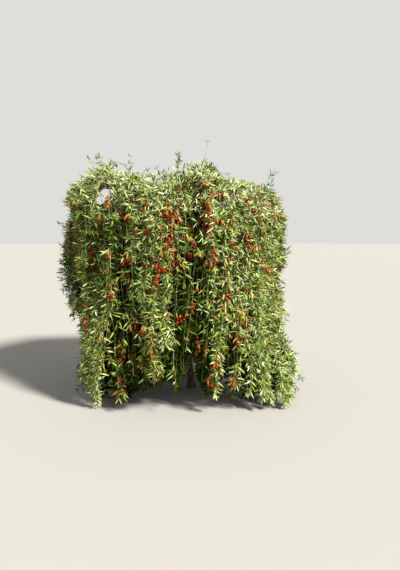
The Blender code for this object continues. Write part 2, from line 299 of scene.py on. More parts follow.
LEAF_DEEP = (
    np.array([[0.0, 0.0, 0.0], [0.42, -0.5, 0.2], [0.42, 0.5, -0.2], [1.0, 0.0, 0.0]]),
    np.array([[0, 1, 2], [1, 3, 2]]),
)


def leaf_arrays(base, along, face, length, width, curl, fold, template):
    """Leaves as one array: each lies along `along`, its upper side towards `face`."""
    T, F = template
    n = len(base)
    t = unit(along)
    s = unit(np.cross(face, t))
    u = np.cross(t, s)
    x, y, w = T[:, 0], T[:, 1], T[:, 2]
    L, W = length[:, None, None], width[:, None, None]
    bend = -(curl[:, None] * x[None] ** 2)[:, :, None] * L
    dip = -(fold[:, None] * w[None])[:, :, None] * W * 0.5
    v = (base[:, None] + t[:, None] * (x[None, :, None] * L) + s[:, None] * (y[None, :, None] * W)
         + u[:, None] * (bend + dip))
    f = F[None] + (np.arange(n) * len(T))[:, None, None]
    return v.reshape(-1, 3), f.reshape(-1, 3)


def tube_arrays(points, radii, sides, twist=0.0, caps=True):
    """One closed tapering tube as quads turned to triangles."""
    P = np.asarray(points, float)
    n = len(P)
    T = unit(np.gradient(P, axis=0))
    ref = np.array([1.0, 0.0, 0.0]) if abs(T[0][0]) < 0.8 else np.array([0.0, 1.0, 0.0])
    U = np.zeros_like(P)
    u = unit(np.cross(T[0], ref))
    for i in range(n):
        u = u - T[i] * np.dot(u, T[i])
        u = u / max(np.linalg.norm(u), 1e-9)
        U[i] = u
    V = np.cross(T, U)
    a = np.arange(sides) / sides * TAU + twist
    ring = (U[:, None] * np.cos(a)[None, :, None] + V[:, None] * np.sin(a)[None, :, None])
    v = P[:, None] + ring * np.asarray(radii, float)[:, None, None]
    v = v.reshape(-1, 3)
    i = np.arange(n - 1)[:, None] * sides
    j = np.arange(sides)[None]
    k = (j + 1) % sides
    a0, a1, b0, b1 = i + j, i + k, i + sides + j, i + sides + k
    f = np.concatenate([np.stack([a0, a1, b1], -1).reshape(-1, 3), np.stack([a0, b1, b0], -1).reshape(-1, 3)])
    if not caps:
        return v, f
    tip = len(v)
    v = np.concatenate([v, P[:1] - T[:1] * radii[0] * 0.2, P[-1:] + T[-1:] * radii[-1]])
    s0 = np.arange(sides)
    s1 = (s0 + 1) % sides
    base = (n - 1) * sides
    f = np.concatenate([f, np.stack([s1, s0, np.full(sides, tip)], -1),
                        np.stack([base + s0, base + s1, np.full(sides, tip + 1)], -1)])
    return v, f


class Heap:
    """Collects pieces of mesh that end up as one object."""

    def __init__(self):
        self.v, self.f, self.n = [], [], 0

    def add(self, v, f):
        self.v.append(v)
        self.f.append(f + self.n)
        self.n += len(v)

    @property
    def faces(self):
        return sum(len(f) for f in self.f)

    def make(self, name, mat, smooth=True):
        v = np.concatenate(self.v)
        v[:, 2] = np.maximum(v[:, 2], 0.0)
        return mesh_object(name, v, np.concatenate(self.f), mat, smooth)


# ------------------------------------------------------------------ wood: trunk and boughs
def bezier(p0, p1, p2, p3, t):
    s = 1.0 - t
    return p0 * s**3 + p1 * 3 * s * s * t + p2 * 3 * s * t * t + p3 * t**3


def trunk_axis(z):
    t = z / TRUNK_TOP.z
    ease = t * t * (3 - 2 * t) * 0.35 + 0.65 * t
    start = max(0.0, min(1.0, z / 0.05)) ** 2
    return Vector(((TRUNK_TOP.x * ease + 0.006 * math.sin(math.pi * t)) * start,
                   (TRUNK_TOP.y * ease - 0.005 * math.sin(2 * math.pi * t)) * start, z))


def trunk_radius(z):
    t = z / TRUNK_TOP.z
    r = TRUNK_FOOT_RADIUS + (TRUNK_TOP_RADIUS - TRUNK_FOOT_RADIUS) * t**0.8
    return r + 0.0022 * bump(z - 0.44, 0.06)


def bough_points(start_z, bearing, reach, end_z, steps):
    b = math.radians(bearing)
    out = Vector((math.cos(b), math.sin(b), 0.0))
    root = trunk_axis(start_z)
    end = Vector((root.x + out.x * reach, root.y + out.y * reach, end_z))
    rise = end_z - start_z
    side = Vector((-out.y, out.x, 0.0)) * 0.035 * math.sin(bearing)
    p1 = root + out * reach * 0.42 + Vector((0, 0, rise * 0.18)) + side
    p2 = end - out * reach * 0.22 - Vector((0, 0, rise * 0.42)) - side
    return [bezier(root, p1, p2, end, i / (steps - 1)) for i in range(steps)]


def barked(points, radii, sides, relief, ridges, seed):
    """A limb whose surface is fissured bark."""
    v, f = tube_arrays(points, radii, sides)
    P = np.asarray(points, float)
    n = len(P)
    ring = v[: n * sides].reshape(n, sides, 3)
    out = ring - P[:, None]
    far = np.linalg.norm(out, axis=-1, keepdims=True)
    ang = np.arange(sides) / sides * TAU
    along = np.concatenate([[0], np.cumsum(np.linalg.norm(np.diff(P, axis=0), axis=1))])
    r = np.zeros((n, sides))
    for i in range(n):
        for j in range(sides):
            z, a = along[i], ang[j]
            q = Vector((math.cos(a) * ridges * 0.35, math.sin(a) * ridges * 0.35, z * 14 + seed))
            ridge = 1.0 - abs(noise.noise(q)) * 2.6
            q2 = Vector((math.cos(a) * ridges * 0.9, math.sin(a) * ridges * 0.9, z * 60 + seed))
            r[i, j] = 0.75 * ridge + 0.35 * noise.noise(q2)
    r = (r - r.mean()) * relief
    ring = P[:, None] + out * (1.0 + r[:, :, None] / np.maximum(far, 1e-6))
    v[: n * sides] = ring.reshape(-1, 3)
    return v, f


def resample(points, step):
    P = np.asarray(points, float)
    d = np.concatenate([[0], np.cumsum(np.linalg.norm(np.diff(P, axis=0), axis=1))])
    n = max(2, int(round(d[-1] / step)) + 1)
    at = np.linspace(0, d[-1], n)
    return np.stack([np.interp(at, d, P[:, k]) for k in range(3)], -1)


def spline(controls, per=8):
    """A smooth curve through the control points (Catmull-Rom)."""
    C = np.asarray(controls, float)
    C = np.concatenate([2 * C[:1] - C[1:2], C, 2 * C[-1:] - C[-2:-1]])
    out = []
    t = (np.arange(per) / per)[:, None]
    for i in range(1, len(C) - 2):
        a, b, c, d = C[i - 1], C[i], C[i + 1], C[i + 2]
        out.append(0.5 * (2 * b + (c - a) * t + (2 * a - 5 * b + 4 * c - d) * t**2
                          + (3 * b - a - 3 * c + d) * t**3))
    out.append(C[-2:-1])
    return np.concatenate(out)


wood = Heap()
trunk_heap = Heap()
zs = np.concatenate([np.linspace(0, 0.06, 16)[:-1], np.linspace(0.06, TRUNK_TOP.z, 120)])
pts = [trunk_axis(z) for z in zs]
rad = [trunk_radius(z) for z in zs]
v, f = barked(pts, rad, 64, 0.0022, 3.2, 3.0)
for i, co in enumerate(v[: len(zs) * 64]):
    z = co[2]
    axis = trunk_axis(max(0.0, z))
    out = np.array([co[0] - axis.x, co[1] - axis.y])
    if z < FLARE_HEIGHT:
        a = math.atan2(out[1], out[0])
        near = max(0.0, 1.0 - z / FLARE_HEIGHT) ** 2
        grow = ROOT_FLARE * near * (0.75 + 0.45 * math.cos(FLARE_LOBES * a + 0.8))
        out = out * (1 + grow / np.linalg.norm(out))
        co[0], co[1] = axis.x + out[0], axis.y + out[1]
v[:, 2] = np.maximum(v[:, 2], 0.0)
trunk_heap.add(v, f)

LIMB_ENDS = []
for name, start, bearing, reach, end, r0, r1 in BOUGHS:
    P = bough_points(start, bearing, reach, end, 90)
    R = [r0 * (1.0 + 0.35 * math.exp(-i / 5.0)) + (r1 - r0) * (i / 89) ** 0.9 for i in range(90)]
    v, f = barked(P, R, 22, 0.0012, 2.2, start * 50)
    wood.add(v, f)
    LIMB_ENDS.append((math.radians(bearing), P, R))
root = trunk_axis(TRUNK_TOP.z - 0.012)
up = (trunk_axis(TRUNK_TOP.z) - trunk_axis(TRUNK_TOP.z - 0.03)).normalized()
P = [bezier(root, root + up * 0.20, LEADER_END - Vector((0.02, 0, 0.22)), LEADER_END, i / 79) for i in range(80)]
R = [0.0175 + (LEADER_RADII[1] - 0.0175) * i / 79 for i in range(80)]
v, f = barked(P, R, 22, 0.0012, 2.2, 9.0)
wood.add(v, f)
LEADER = (P, R)


# ------------------------------------------------------------------ zones seen from the front
# dark places between the strands: x, y, half-width, half-height in the frame, share cleared, depth cleared
DARK = (
    (104, 260, 12, 28, 0.65, 0.10),
    (78, 288, 6, 12, 0.45, 0.09),
    (116, 322, 4.0, 22, 0.70, 0.10),
    (108, 370, 4.5, 30, 0.80, 0.10),
    (126, 292, 5, 34, 0.66, 0.14),
    (172, 322, 5, 26, 0.80, 0.16),
    (201, 280, 8, 20, 0.60, 0.12),
    (201, 376, 12, 18, 0.80, 0.11),
    (190, 378, 7, 14, 0.97, 0.62),
    (231, 352, 5, 20, 0.60, 0.10),
    (160, 296, 4, 16, 0.5, 0.10),
    (214, 318, 5, 16, 0.5, 0.12),
    (141, 262, 5, 10, 0.5, 0.10),
)
# strands that stand forward into the light: x, y, half-width, half-height
BRIGHT = (
    (98, 345, 9, 60), (80, 365, 4, 26), (154, 325, 11, 55), (136, 350, 5, 40), (186, 322, 5, 30),
    (219, 370, 6, 34), (256, 330, 18, 60), (284, 375, 14, 40), (150, 225, 14, 24), (215, 235, 12, 30),
    (262, 225, 14, 26), (185, 240, 10, 30), (112, 240, 8, 22),
)
# places where the sky shows through: x, y, half-length, half-width, slant, share cleared
SKY = (
    (104.5, 196, 10.5, 5.0, -0.80, 1.0),
    (150, 184, 4.0, 5.0, 0.0, 0.8),
    (178, 194, 3.0, 3.5, 0.0, 0.8),
    (66, 212, 3.0, 5.0, 0.0, 0.7),
    (279, 206, 4.0, 5.0, 0.0, 0.6),
    (217, 199, 3.2, 1.6, 0.4, 0.95),
    (225, 203, 4.2, 2.0, -0.6, 0.95),
    (232, 196, 3.2, 1.6, 0.9, 0.95),
    (239, 207, 3.4, 1.6, -0.3, 0.95),
    (246, 191, 3.2, 1.8, 0.5, 0.95),
    (255, 198, 3.0, 1.6, -0.8, 0.95),
    (123, 172, 3.6, 1.8, -0.5, 0.95),
    (161, 181, 3.2, 1.8, 0.5, 0.95),
)
# places near the outline where it shows in specks: x, y, half-width, half-height
TRUNK_GAP = (190, 370, 6.5, 17)
# places where the crown is only a thin layer against the sky
VEIL = ((224, 200, 15, 10), (248, 194, 11, 6), (122, 172, 14, 5), (162, 181, 12, 5), (97, 182, 10, 5), (104, 196, 11.5, 10))
AIRY = ((222, 200, 17, 11), (247, 193, 14, 7), (124, 170, 16, 6), (160, 178, 16, 6), (82, 190, 12, 8), (196, 170, 14, 6),
        (272, 204, 12, 9))
# places rich in fruit
FRUIT = (
    (200, 183, 14, 7), (203, 214, 12, 16), (128, 210, 10, 13), (142, 198, 6, 6), (110, 199, 4, 7),
    (148, 254, 7, 7), (103, 247, 10, 9), (126, 266, 5, 9), (118, 285, 7, 9), (90, 288, 6, 20),
    (167, 232, 7, 8), (166, 270, 7, 9), (185, 272, 8, 8), (203, 250, 7, 14), (197, 290, 6, 12),
    (250, 198, 9, 10), (272, 206, 10, 9), (249, 237, 9, 8), (217, 240, 8, 12), (228, 290, 12, 12),
    (240, 326, 7, 14), (254, 341, 6, 8), (134, 320, 6, 12), (146, 322, 5, 10), (203, 337, 10, 7),
    (187, 334, 5, 7), (155, 368, 4, 14), (125, 374, 5, 22), (112, 352, 4, 12), (177, 366, 4, 14),
    (214, 362, 7, 9), (197, 362, 7, 6), (172, 208, 7, 7), (190, 232, 10, 10), (262, 272, 6, 12),
    (70, 218, 6, 14), (160, 250, 7, 7),
)


def in_zone(px, py, zone):
    return np.exp(-(((px - zone[0]) / zone[2]) ** 2 + ((py - zone[1]) / zone[3]) ** 2) ** 1.5 * 0.7)


def gap_at(px, py, gap):
    """Places in the frame as seen from a gap's middle, 1 being its rim."""
    x, y, a, b, slant, _ = gap
    c, s = math.cos(slant), math.sin(slant)
    u, v = px - x, py - y
    return np.stack([(u * c + v * s) / a, (v * c - u * s) / b], -1)


def relief(p):
    """How far the curtain is pressed in, or bulges, at a point of its front."""
    if p.y > -0.1:
        return 0.0
    px, py = seen_at([p])
    dent = max(z[4] * float(in_zone(px, py, z)[0]) for z in DARK)
    swell = max(float(in_zone(px, py, z)[0]) for z in BRIGHT)
    return -0.10 * dent + 0.022 * swell * (1 - dent)


# ------------------------------------------------------------------ paths
class Shoot:
    """One cane: its points, its radius at each, and what it bears."""

    __slots__ = ("p", "r", "kind", "tone", "fruit", "leafy", "start")

    def __init__(self, p, r0, r1, kind, tone=None, fruit=0.0, leafy=1.0, start=0.0):
        self.p = np.asarray(p, float)
        s = np.linspace(0, 1, len(self.p))
        self.r = r0 + (r1 - r0) * s**0.8
        self.kind, self.tone, self.fruit, self.leafy, self.start = kind, tone, fruit, leafy, start


SHOOTS = []
STEP = 0.0235                       # between leaf nodes


def kinked(P, size, every=3):
    """Small bends at the nodes, as goji canes have."""
    n = len(P)
    k = max(2, n // every + 1)
    wave = RNG.normal(0, size, (k, 3))
    wave[0] = 0
    at = np.linspace(0, k - 1, n)
    return P + np.stack([np.interp(at, np.arange(k), wave[:, c]) for c in range(3)], -1)


def part_round(line):
    """The same path, led round the places where the sky shows."""
    for gap in SKY:
        if gap[5] < 0.85:
            continue
        grown = RNG.uniform(1.25, 2.2)
        q = gap_at(*seen_at(line), gap) / grown
        inside = (q**2).sum(1) < 1
        cos, sin = math.cos(gap[4]), math.sin(gap[4])
        i = 0
        while i < len(q):
            if not inside[i]:
                i += 1
                continue
            j = i
            while j + 1 < len(q) and inside[j + 1]:
                j += 1
            d = unit(q[min(j + 1, len(q) - 1)] - q[max(i - 1, 0)])
            across = np.array([-d[1], d[0]])
            run = q[i:j + 1]
            side = 1.0 if run.mean(0) @ across >= 0 else -1.0
            wave = 1 + 0.22 * np.sin(np.arange(len(run)) * RNG.uniform(0.5, 1.1) + RNG.uniform(0, TAU))
            off = np.sqrt(np.clip(1 - (run @ d) ** 2, 0, 1)) * side * wave - run @ across
            move = off[:, None] * across * np.array([gap[2], gap[3]]) * grown
            depth = (line[i:j + 1, 1] - CAM.y) / FOCAL
            line[i:j + 1, 0] += (move[:, 0] * cos - move[:, 1] * sin) * depth
            line[i:j + 1, 2] -= (move[:, 0] * sin + move[:, 1] * cos) * depth
            i = j + 1
    return line


def beside_gap(P):
    px, py = seen_at(P)
    return np.any([(gap_at(px, py, gap) ** 2).sum(-1) < (6 if gap[5] == 1 else 2.5) for gap in SKY if gap[5] >= 0.85], axis=0)


# secondary limbs: from the boughs' upper halves to points spread under the dome
TARGETS = []
RINGS = ((0.12, 4), (0.38, 9), (0.62, 14), (0.82, 20))
for rho, count in RINGS:
    for k in range(count):
        b = (k + 0.5 * (rho > 0.3) + RNG.uniform(-0.25, 0.25)) / count * TAU
        rr = rho * RNG.uniform(0.92, 1.08)
        p = place(b, rr * plan_radius(b), 0)
        p.z = top_height(p.x, p.y) - RNG.uniform(0.07, 0.15) - 0.10 * rho**3
        TARGETS.append((b, rr, p))
for b, rho, p in TARGETS:
    # the bough whose bearing is nearest carries it
    if rho < 0.3:
        P, R = LEADER
        at = int(len(P) * RNG.uniform(0.55, 0.95))
    else:
        _, P, R = min(LIMB_ENDS, key=lambda e: abs((e[0] - b + math.pi) % TAU - math.pi))
        at = int(len(P) * RNG.uniform(0.60, 0.99))
    a = P[at]
    across = p - a
    p1 = a + Vector((across.x * 0.25, across.y * 0.25, max(0.05, across.z * 0.55)))
    p2 = p - Vector((across.x * 0.35, across.y * 0.35, across.z * 0.02))
    line = [bezier(a, p1, p2, p, i / 24) for i in range(25)]
    line = np.array([q.lerp(sway(q), min(1.0, i / 8)) for i, q in enumerate(line)])
    line = part_round(kinked(line, 0.004, 4))
    r0 = min(R[at] * 0.75, 0.0075)
    SHOOTS.append(Shoot(line, r0, 0.0028, "limb", leafy=0.3, start=0.35))
LIMBS = [s for s in SHOOTS if s.kind == "limb"]
LIMB_TIPS = np.array([s.p[-1] for s in LIMBS])


def from_limb(x, y, z):
    """A point on one of the limbs whose tips are nearest, to start a cane from."""
    d = np.linalg.norm(LIMB_TIPS - np.array([x, y, z]), axis=1)
    limb = LIMBS[int(np.argsort(d)[RNG.integers(0, 2)])]
    k = int(len(limb.p) * RNG.uniform(0.55, 0.98))
    return limb.p[k]


# the skirt's lower edge as seen from the front: x and lowest y in the frame
EDGE = ((55, 297), (70, 304), (73, 389), (82, 393), (88, 396), (98, 412), (104, 399), (113, 400), (125, 405), (132, 392),
        (145, 386), (160, 384), (170, 381), (178, 395), (184, 373), (196, 374), (205, 394), (218, 406), (231, 402),
        (246, 403), (262, 406), (276, 411), (291, 411), (297, 394), (304, 378))
EDGE_X, EDGE_Y = np.array(EDGE, float).T


def trimmed(line):
    """The path as far as the skirt's lower edge."""
    px, py = seen_at(line)
    below = (line[:, 1] < -0.05) & (line[:, 2] < 0.8) & (py > np.interp(px, EDGE_X, EDGE_Y) - abs(RNG.normal(0, 4)))
    return line[: max(6, int(np.argmax(below)))] if below.any() else line


def weeping(b, depth, low, apex, fruit, tone=None, low_bearing=None, leafy=1.0):
    """A long cane: up from a limb, over the shoulder and down the curtain."""
    top_r = apex * plan_radius(b)
    q = place(b, top_r, 0)
    apex_z = top_height(q.x, q.y) - RNG.uniform(0.02, 0.07) - depth * 0.5
    A = Vector((q.x, q.y, apex_z))
    start = Vector(from_limb(A.x, A.y, A.z))
    controls = [start]
    mid = (start + A) / 2
    mid.z = max(start.z, mid.z) + 0.03
    controls += [mid, A]
    drift = RNG.normal(0, 0.035)
    wob, phase = RNG.uniform(0.002, 0.012), RNG.uniform(0, TAU)
    z0 = min(SHOULDER_Z - 0.05, apex_z - 0.12) + RNG.uniform(-0.03, 0.02)
    over = place(b + drift * 0.1, 0.5 * (top_r + rim_radius(b, z0) - depth) + 0.03, 0)
    over.z = apex_z - 0.02 - 0.20 * max(0, apex_z - z0)
    if rim_radius(b, z0) - depth - top_r > 0.10:
        controls.append(over)
    if low_bearing is None:
        low_bearing = b + drift * (z0 - low)
    turn = (low_bearing - b + math.pi) % TAU - math.pi
    n = max(2, int((z0 - low) / 0.12) + 1)
    for k in range(n + 1):
        t = k / n
        z = z0 + (low - z0) * t
        bb = b + turn * (1 - (1 - t) ** 1.6) + 0.018 * math.sin(5.0 * z + phase) * (1 - t)
        r = rim_radius(bb, z) - depth * (1 + 0.2 * math.sin(2.3 * z + phase)) + wob * math.sin(7 * z + phase)
        q = place(bb, r, z)
        r += relief(sway(q)) * max(0.0, 1 - depth / 0.13)
        r -= 0.12 * max(0.0, (abs(math.cos(bb)) - 0.7) / 0.3) * max(0.0, noise.noise(
            Vector((3 * math.cos(bb), 3 * math.sin(bb), 3.4 * z))) + 0.08)
        controls.append(place(bb, r, z))
    swayed = [controls[0]] + [sway(c) for c in controls[1:]]
    line = resample(spline([tuple(c) for c in swayed], 8), STEP)
    line = trimmed(part_round(kinked(line, 0.0022, 3)))
    line[:, 2] = np.maximum(line[:, 2], 0.008)
    SHOOTS.append(Shoot(line, 0.0019, 0.0008, "weep", tone, fruit, leafy, 0.05))
    return SHOOTS[-1]


def fruit_wealth(P):
    """How much fruit the nodes at P bear, from 0 to 1."""
    px, py = seen_at(P)
    front = P[:, 1] < -0.05
    rich = np.zeros(len(P))
    for z in FRUIT:
        rich = np.maximum(rich, in_zone(px, py, z))
    poor = np.exp(-(((px - 276) / 24) ** 2 + ((py - 372) / 46) ** 2) ** 2)
    poor = np.maximum(poor, np.exp(-(((px - 90) / 15) ** 2 + ((py - 370) / 50) ** 2) ** 2))
    seen = np.clip(0.13 + 0.9 * rich, 0.02, 1) * (1 - 0.95 * poor)
    other = np.full(len(P), 0.36)
    other *= np.clip((P[:, 2] - 0.10) / 0.35, 0.2, 1)
    return np.where(front, seen, other)


# ------------------------------------------------------------------ tones dealt out by spray, with painted light and painted shade
# leaf colours from dark to pale; leaf_painted_deep_shade is painted deep shade for the crown's inside, and the light
# and pale tones stand for sunlit leaves where the painted light levels place them
TONES = {
    "leaf_painted_deep_shade": ((0.011, 0.020, 0.0008), 0.75, 0.02),
    "leaf_shade": ((0.033, 0.064, 0.0025), 0.62, 0.08),
    "leaf_mid": ((0.072, 0.116, 0.0085), 0.55, 0.16),
    "leaf_grey": ((0.126, 0.178, 0.058), 0.55, 0.22),
    "leaf_fresh": ((0.172, 0.217, 0.026), 0.55, 0.22),
    "leaf_light": ((0.243, 0.297, 0.104), 0.55, 0.25),
    "leaf_pale": ((0.305, 0.338, 0.172), 0.58, 0.22),
    "leaf_ochre": ((0.220, 0.172, 0.045), 0.56, 0.22),
    "leaf_russet": ((0.180, 0.104, 0.028), 0.60, 0.15),
}
TONE_NAMES = list(TONES)
# each spray mixes neighbouring tones; the rows run from painted deep shade to painted light, the last for the painted
# light at the top
MIXES = (
    (0.36, 0.34, 0.22, 0.06, 0.02, 0.00, 0.00),   # deep
    (0.12, 0.26, 0.32, 0.18, 0.08, 0.03, 0.01),   # shaded
    (0.04, 0.12, 0.30, 0.25, 0.17, 0.09, 0.03),   # middle
    (0.01, 0.05, 0.18, 0.25, 0.26, 0.19, 0.06),   # sunny
    (0.00, 0.02, 0.08, 0.21, 0.27, 0.29, 0.13),   # bright
    (0.03, 0.06, 0.06, 0.10, 0.10, 0.33, 0.32),   # the top
)


def painted_light_and_shade(P):
    """A level of painted light and painted shade from 0 to 5 for sprays at P, before chance: higher where the crown is
    sunlit and towards the top, lower where it lies in shade.
    """
    px, py = seen_at(P)
    t = np.full(len(P), 1.9)
    zone = lambda x, y, w, h: np.exp(-((px - x) / w) ** 2 - ((py - y) / h) ** 2)
    # painted light on the sunlit banks and strands and at the top; painted shade on the shaded left flank and between
    # strands
    t += 1.3 * zone(256, 318, 30, 56)
    t += 0.9 * zone(272, 385, 24, 28)
    t += 1.6 * zone(225, 250, 17, 62)
    t -= 0.7 * zone(226, 358, 14, 26)
    t += 0.8 * zone(101, 322, 8, 18)
    t += 1.2 * zone(225, 210, 22, 14) + 0.9 * zone(165, 212, 14, 14) + 0.8 * zone(107, 208, 12, 10)
    t += 0.7 * zone(256, 208, 16, 14) + 0.5 * zone(68, 215, 12, 20)
    t += 0.9 * zone(226, 190, 18, 16) + 0.9 * zone(195, 205, 18, 22)
    t += 1.5 * zone(93, 350, 13, 50)
    t += 1.5 * zone(156, 325, 12, 34)
    t += 0.8 * zone(136, 350, 8, 40)
    t += 2.5 * np.clip((228 - py) / 36, 0, 1) + 1.3 * np.clip((204 - py) / 16, 0, 1)
    t += 0.6 * zone(185, 245, 40, 26)
    t += 0.7 * zone(262, 235, 26, 40)
    t -= 1.5 * zone(103, 262, 18, 36)
    t += 0.5 * zone(70, 240, 12, 30)
    t -= 1.0 * zone(118, 355, 9, 50)
    t -= 0.8 * zone(200, 330, 18, 60)
    # behind the front, a middle level with painted light towards the top
    return np.where(P[:, 1] > 0.05, 2.2 + 1.5 * np.clip((P[:, 2] - 1.15) / 0.15, 0, 1), t)


# the front strands: x in the frame, lowest y, half-width, canes, fruit, how far set back
STRANDS = (
    (61, 296, 3.0, 10, 0.4, 0.03), (66, 294, 3.0, 9, 0.4, 0.06), (72, 303, 3.0, 10, 0.4, 0.06),
    (85, 306, 3.0, 8, 0.3, 0.08),
    (91, 372, 3.0, 7, 0.0, 0.03), (98, 411, 2.8, 13, 0.0, 0.00), (104, 330, 2.6, 6, 0.2, 0.04),
    (114, 398, 2.2, 7, 1.0, 0.10), (123, 405, 3.0, 12, 1.0, 0.05), (135, 390, 2.6, 8, 0.8, 0.07),
    (145, 384, 2.8, 9, 0.6, 0.02), (154, 382, 3.0, 13, 1.0, 0.00), (163, 352, 2.8, 11, 0.4, 0.01),
    (176, 394, 1.5, 4, 1.0, 0.04), (184, 352, 3.0, 8, 0.8, 0.06), (196, 358, 3.2, 8, 1.0, 0.10),
    (207, 374, 2.8, 9, 1.0, 0.06), (201, 388, 1.8, 4, 1.0, 0.13), (212, 396, 2.0, 5, 1.0, 0.10), (235, 392, 2.2, 6, 0.6, 0.12), (218, 405, 2.8, 11, 0.8, 0.02), (229, 360, 2.2, 5, 0.2, 0.07),
    (240, 395, 3.2, 12, 1.0, 0.03), (252, 402, 3.4, 13, 0.7, 0.04), (263, 404, 3.4, 16, 0.2, 0.01),
    (273, 407, 3.4, 17, 0.1, 0.03), (283, 411, 3.0, 17, 0.0, 0.00), (291, 410, 2.6, 13, 0.0, 0.02),
    (297, 385, 2.0, 6, 0.0, 0.03),
    (84, 322, 3.0, 6, 0.2, 0.13), (93, 338, 3.0, 7, 0.2, 0.13), (102, 350, 2.5, 6, 0.4, 0.15),
    (107, 394, 2.5, 10, 0.6, 0.13), (113, 388, 2.5, 8, 0.6, 0.18), (120, 375, 3.0, 5, 0.5, 0.16), (97, 390, 3.0, 8, 0.3, 0.16), (101, 395, 3.0, 8, 0.5, 0.20),
    (229, 376, 3.0, 8, 0.4, 0.13), (240, 384, 4.0, 12, 0.4, 0.14), (250, 388, 3.0, 8, 0.2, 0.15),
    (101, 337, 3.0, 7, 0.0, 0.02), (107, 330, 2.5, 7, 0.2, 0.03),
    (104, 384, 3.0, 6, 0.5, 0.19), (109, 380, 3.0, 6, 0.5, 0.22), (262, 392, 4.0, 7, 0.2, 0.15),
    (272, 396, 4.0, 7, 0.0, 0.14), (282, 399, 4.0, 7, 0.0, 0.13),
    (196, 376, 4.0, 5, 0.8, 0.16), (208, 382, 3.0, 5, 0.7, 0.15),
)
grid = [(math.radians(a), z) for a in np.arange(182, 361, 1.5) for z in np.arange(0.0, 1.15, 0.025)]
grid_xy = {back: np.stack(seen_at([sway(place(b, rim_radius(b, z) - back, z)) for b, z in grid]), -1)
           for back in (0.045, 0.10, 0.16, 0.22)}


def aim(px, py, back):
    """Bearing and height of the point that is seen at a place in the frame, so far inside the curtain."""
    xy = grid_xy[min(grid_xy, key=lambda d: abs(d - 0.03 - back))]
    return grid[int(np.argmin(((xy - (px, py)) ** 2).sum(1)))]


for x, y, half, canes, fruit, back in STRANDS:
    for k in range(round(canes * 0.84)):
        u = RNG.random()
        yy = y - 5 - (abs(RNG.normal(0, 5)) if u < 0.5 else RNG.uniform(5, 0.45 * (y - 235)) if u < 0.8
                      else RNG.uniform(0.35, 0.95) * (y - 235))
        xx = x + RNG.normal(0, half * 0.5) * (0.7 + 0.5 * (u > 0.5))
        b1, low = aim(xx, yy, back)
        b0 = b1 + RNG.normal(0, 0.030)
        weeping(b0, abs(RNG.normal(0.0, 0.018)) + 0.030 + back, low, RNG.uniform(0.50, 0.90), fruit, None, b1)
def drawn(path, canes, spread, fruit, back):
    """Canes that follow a line drawn in the frame, on the curtain's front."""
    path = np.array(path, float)
    for k in range(canes):
        off = (RNG.normal(0, spread) + RNG.normal(0, 0.3 * spread, len(path))) * np.linspace(0.9, 1.3, len(path))
        end = len(path) - int(RNG.integers(0, 2))
        depth = back + abs(RNG.normal(0, 0.015))
        line = []
        for (x, y), o in zip(path[:end], off):
            probe = np.array([on_ray(x + o, y, q) for q in np.arange(-0.72, -0.15, 0.01)])
            inside = behind_surface(probe)
            found = probe[int(np.argmax(inside > depth) if (inside > depth).any() else np.argmax(inside))]
            line.append(found if not line else on_ray(x + o, y, float(np.clip(found[1], line[-1][1] - 0.03, line[-1][1] + 0.03))))
        line = resample(spline([tuple(c) for c in line], 8), STEP)
        line[:, 2] = np.maximum(line[:, 2], 0.008)
        SHOOTS.append(Shoot(kinked(line, 0.0022), 0.0019, 0.0008, "weep", None, fruit, 1.0, 0.0))


drawn(((103, 240), (101, 275), (98, 305), (94, 335), (89, 358), (82, 376), (77, 388)), 8, 2.0, 0.0, 0.035)
drawn(((108, 250), (107, 285), (105, 312), (101, 340), (97, 366), (95, 390)), 6, 2.2, 0.0, 0.02)
for i in range(16):                                    # the front's upper half
    centre, back = math.radians(RNG.uniform(203, 343)), RNG.uniform(0.0, 0.07)
    for k in range(6):
        b = centre + RNG.normal(0, 0.02)
        weeping(b, abs(RNG.normal(0.0, 0.02)) + 0.028 + back, RNG.uniform(0.55, 1.05), RNG.uniform(0.45, 0.92),
                float(RNG.random() < 0.6))
for i in range(34):                                    # the sides and the back
    centre = math.radians(-26 + 224 * i / 33 + RNG.uniform(-1.5, 1.5))
    back = 0.07 * RNG.random() ** 1.3
    for k in range(8 if i % 2 else 7):
        b = centre + RNG.normal(0, 0.022)
        low0 = skirt_bottom(b) + 0.02
        u = RNG.random()
        low = low0 + (abs(RNG.normal(0, 0.03)) if u < 0.45 else RNG.uniform(0.03, 0.40) if u < 0.75
                      else RNG.uniform(0.3, 0.95) * (1.05 - low0))
        low = max(low, 0.57 if b > 3.0 else 0.0)
        weeping(b, abs(RNG.normal(0.0, 0.02)) + 0.030 + back, min(low, 1.05), RNG.uniform(0.50, 0.92),
                float(RNG.random() < 0.6))
for k in range(210):                                   # canes behind the outer ones
    b = math.radians(RNG.uniform(5, 175)) if k % 5 < 2 else RNG.uniform(math.pi, TAU)
    low = min(skirt_bottom(b), 0.22) - 0.08 + abs(RNG.normal(0, 0.12))
    weeping(b, RNG.uniform(0.11, 0.20) + 0.05 * (k % 3), max(0.03, low), RNG.uniform(0.25, 0.75), 0.5, leafy=1.35)


for k in range(84):                                   # low ones behind the front strands
    b = math.radians(RNG.uniform(188, 350))
    low = max(0.03, min(skirt_bottom(b), 0.30) - 0.04 + abs(RNG.normal(0, 0.10)))
    weeping(b, RNG.uniform(0.10, 0.20), low, RNG.uniform(0.45, 0.85), 0.6, leafy=1.2)


for k in range(64):                                   # behind the gaps at the left and the lower right
    b = math.radians(RNG.uniform(219, 242) if k % 2 else RNG.uniform(316, 346))
    weeping(b, RNG.uniform(0.13, 0.25), 0.07 + abs(RNG.normal(0, 0.10)), RNG.uniform(0.45, 0.8), 0.6, leafy=1.5)


